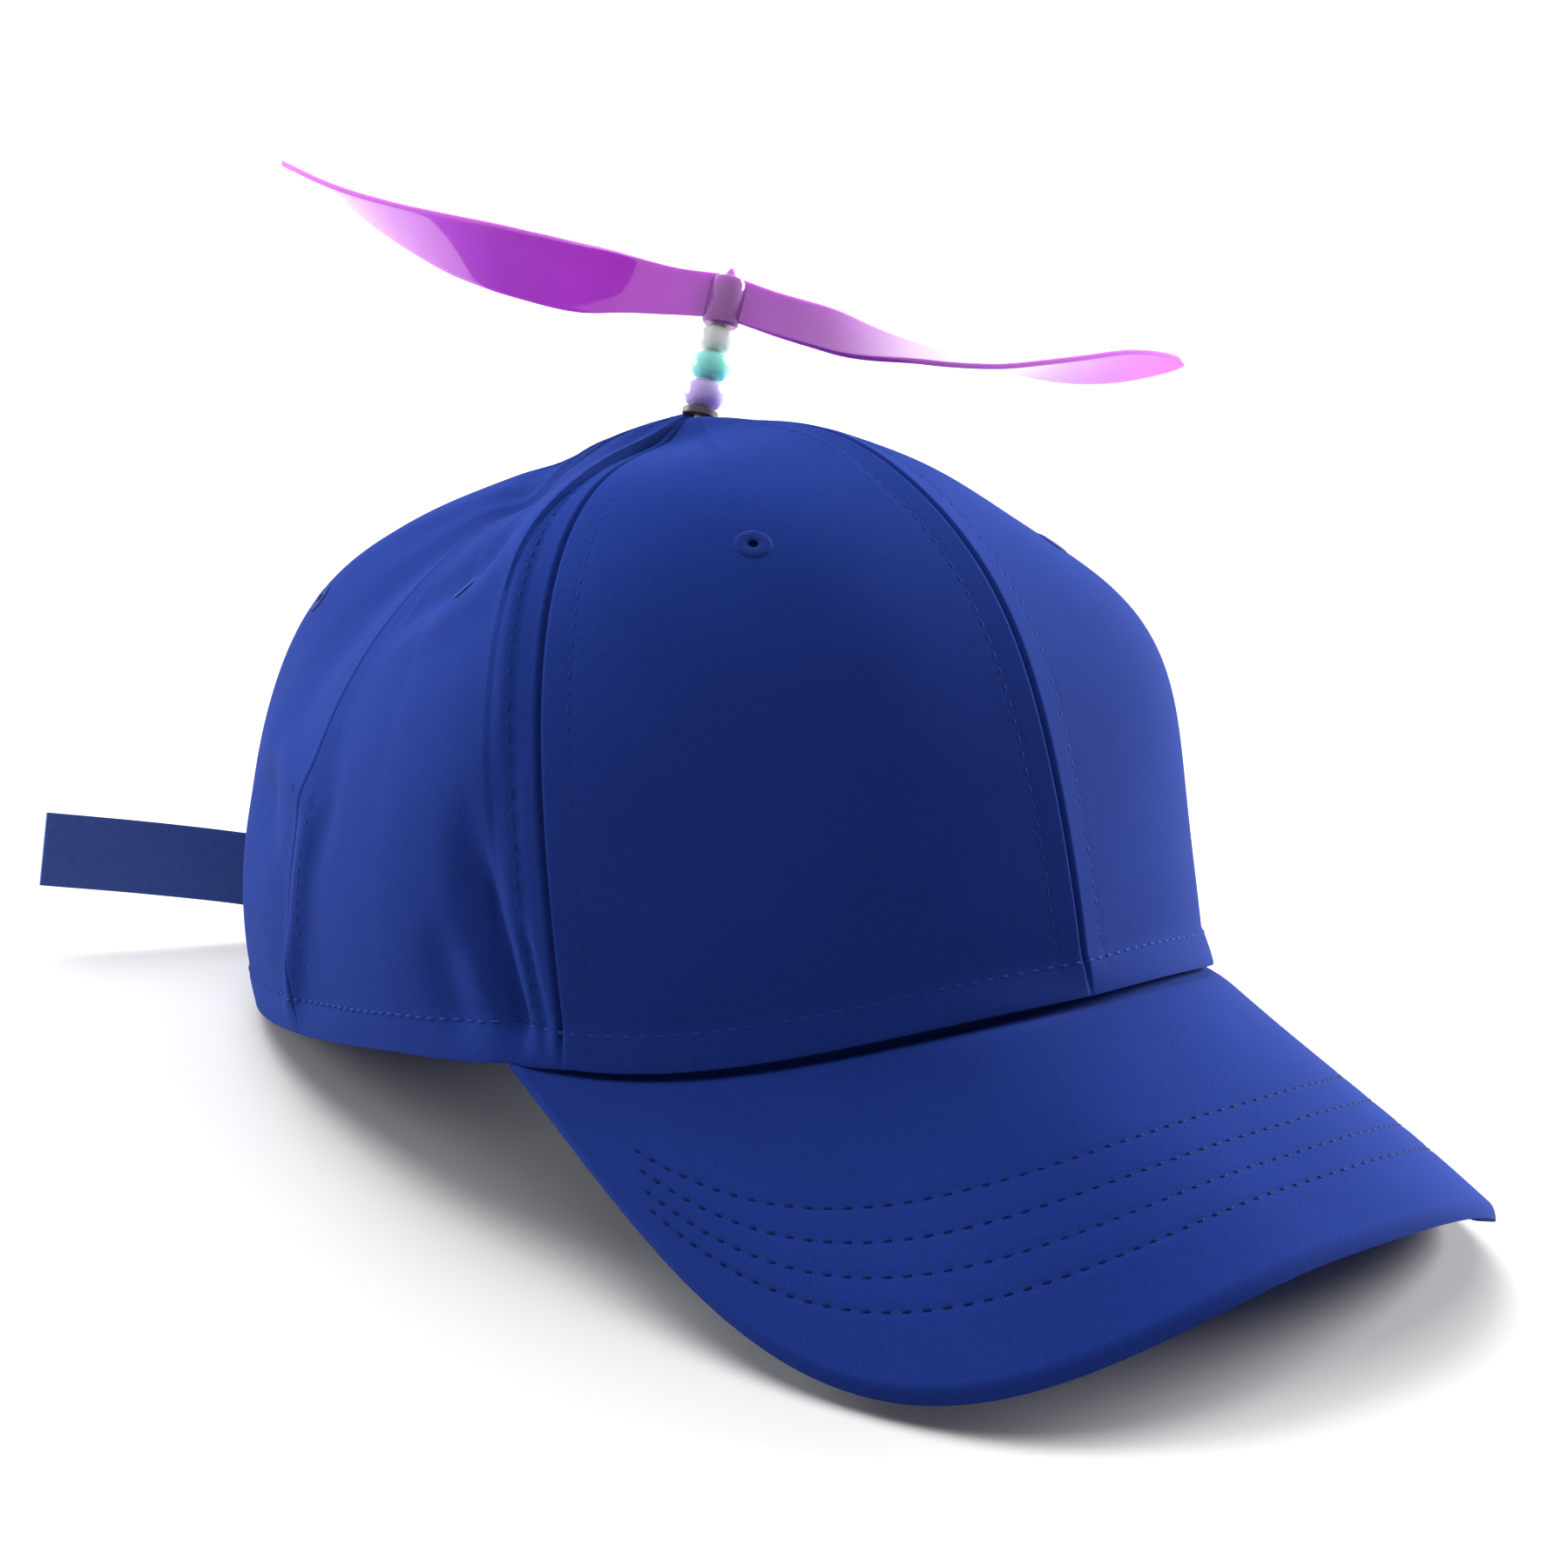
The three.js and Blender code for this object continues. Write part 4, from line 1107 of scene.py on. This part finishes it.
def blade(turn):
    """One blade: a flat grid pulled to the blade's sections and given its thickness."""
    bpy.ops.object.select_all(action="DESELECT")
    bpy.ops.mesh.primitive_grid_add(x_subdivisions=96, y_subdivisions=16, size=1)
    piece = bpy.context.object
    for vertex in piece.data.vertices:
        radius, chord, pitch, lift = blade_section(vertex.co.x + 0.5)
        along = chord * vertex.co.y / 1000
        rise = BLADE_LEVEL + lift / 1000 + along * math.sin(math.radians(pitch))
        vertex.co = (radius / 1000, along * math.cos(math.radians(pitch)), rise)
    apply_modifier(piece, "SOLIDIFY", thickness=BLADE_THICKNESS, offset=0)
    round_edges(piece, BLADE_EDGE, 3, 60)
    piece.data.transform(Matrix.Rotation(turn, 4, "Z"))
    return piece


propeller = turned("purple_propeller", HUB_OUTLINE, sides=64)
for turn in (0, math.pi):
    vane = blade(turn)
    apply_modifier(propeller, "BOOLEAN", operation="UNION", object=vane, solver="EXACT")
    bpy.data.objects.remove(vane)
on_stalk(propeller, 45)
PURPLES = (0.29, 0.085, 0.36, 1), (0.24, 0.07, 0.3, 1)
PURPLE = moulded("purple_plastic", *PURPLES, 0.05, shine=0.9, tint=(1, 0.62, 1, 1))
let_light_in(PURPLE, 0.8, (1.0, 0.35, 1.0), 0.004)
# Painted light: the colour turns paler from the hub out to the blade tips, a painted glow standing
# in for light that comes through the plastic there
PAINTED_TIP_GLOW = (0.56, 0.25, 0.65, 1)
TIP_GLOW_FROM = 0.042
TIP_GLOW_TO = 0.08
purple_shader = PURPLE.node_tree.nodes["Principled BSDF"]
wire = Wire(PURPLE.node_tree, purple_shader.inputs["Base Color"].links[0].from_socket)
hub_middle = tuple(STALK @ Vector((0, 0, BLADE_LEVEL)))
from_hub = wire.node(
    "ShaderNodeVectorMath",
    {0: wire.place(), 1: hub_middle},
    output="Value",
    operation="DISTANCE",
)
# Painted glow: the share of the way out from the hub, which pales the blade colour towards the tips
reach = {"Value": from_hub, "From Min": TIP_GLOW_FROM, "From Max": TIP_GLOW_TO}
painted_glow = wire.node("ShaderNodeMapRange", reach)
wire.feed(purple_shader, {"Base Color": painted_glow.mix(wire, PAINTED_TIP_GLOW)})
propeller.data.materials.append(PURPLE)
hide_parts("propeller")
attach(propeller, "propeller")

# Camera, floor and light
# A pale floor under soft light from the right and behind, so that the front of the crown is in
# shade, seen from the wearer's right front at the photo's angle.
CAMERA_PLACE = (-0.37561, -0.41717, 0.20528)
CAMERA_TURN = (math.radians(75.58), math.radians(-4.67), math.radians(-41.1))
CAMERA_SENSOR = 36
CAMERA_LENS = 72.54
bpy.ops.object.camera_add(location=CAMERA_PLACE, rotation=CAMERA_TURN)
camera = bpy.context.object
camera.data.sensor_width = CAMERA_SENSOR
camera.data.lens = CAMERA_LENS
bpy.context.scene.camera = camera

FLOOR_SIZE = 400
FLOOR_LEVEL = -0.0002
PALE_GREY = {"Base Color": (0.61, 0.61, 0.61, 1), "Roughness": 0.9}
bpy.ops.mesh.primitive_plane_add(size=FLOOR_SIZE, location=(0, 0, FLOOR_LEVEL))
floor = bpy.context.object
floor.name = "pale_floor"
floor.data.materials.append(new_material("pale_floor", PALE_GREY)[0])

# Strength of the surroundings as they look, and as they light the cloth
SKY = 1.6
FILL = 0.02
world = bpy.context.scene.world or bpy.data.worlds.new("studio")
bpy.context.scene.world = world
world.use_nodes = True
sky = world.node_tree.nodes["Background"]
sky.inputs["Color"].default_value = (1, 1, 1, 1)
wire = Wire(world.node_tree)
on_cloth = wire.node("ShaderNodeLightPath", output="Is Diffuse Ray")
wire.feed(sky, {"Strength": SKY - (SKY - FILL) * on_cloth})

# Direction towards each soft light, its strength and how wide it looks
LIGHTS = {
    "right_window": ((0.95, -0.1, 0.28), 6.8, 20),
    "left_window": ((-0.4, 0.9, 0.2), 3.1, 30),
    "back_ceiling": ((0.0, 0.6, 0.8), 2.8, 50),
    "ceiling": ((0.0, 0.2, 0.95), 2.3, 60),
}
for name, (towards, strength, width) in LIGHTS.items():
    turn = Vector(towards).to_track_quat("Z", "Y").to_euler()
    bpy.ops.object.light_add(type="SUN", rotation=turn)
    lamp = bpy.context.object
    lamp.name = name
    lamp.data.energy = strength
    lamp.data.angle = math.radians(width)
    lamp.visible_glossy = "ceiling" not in name

bpy.context.scene.view_settings.view_transform = "Standard"
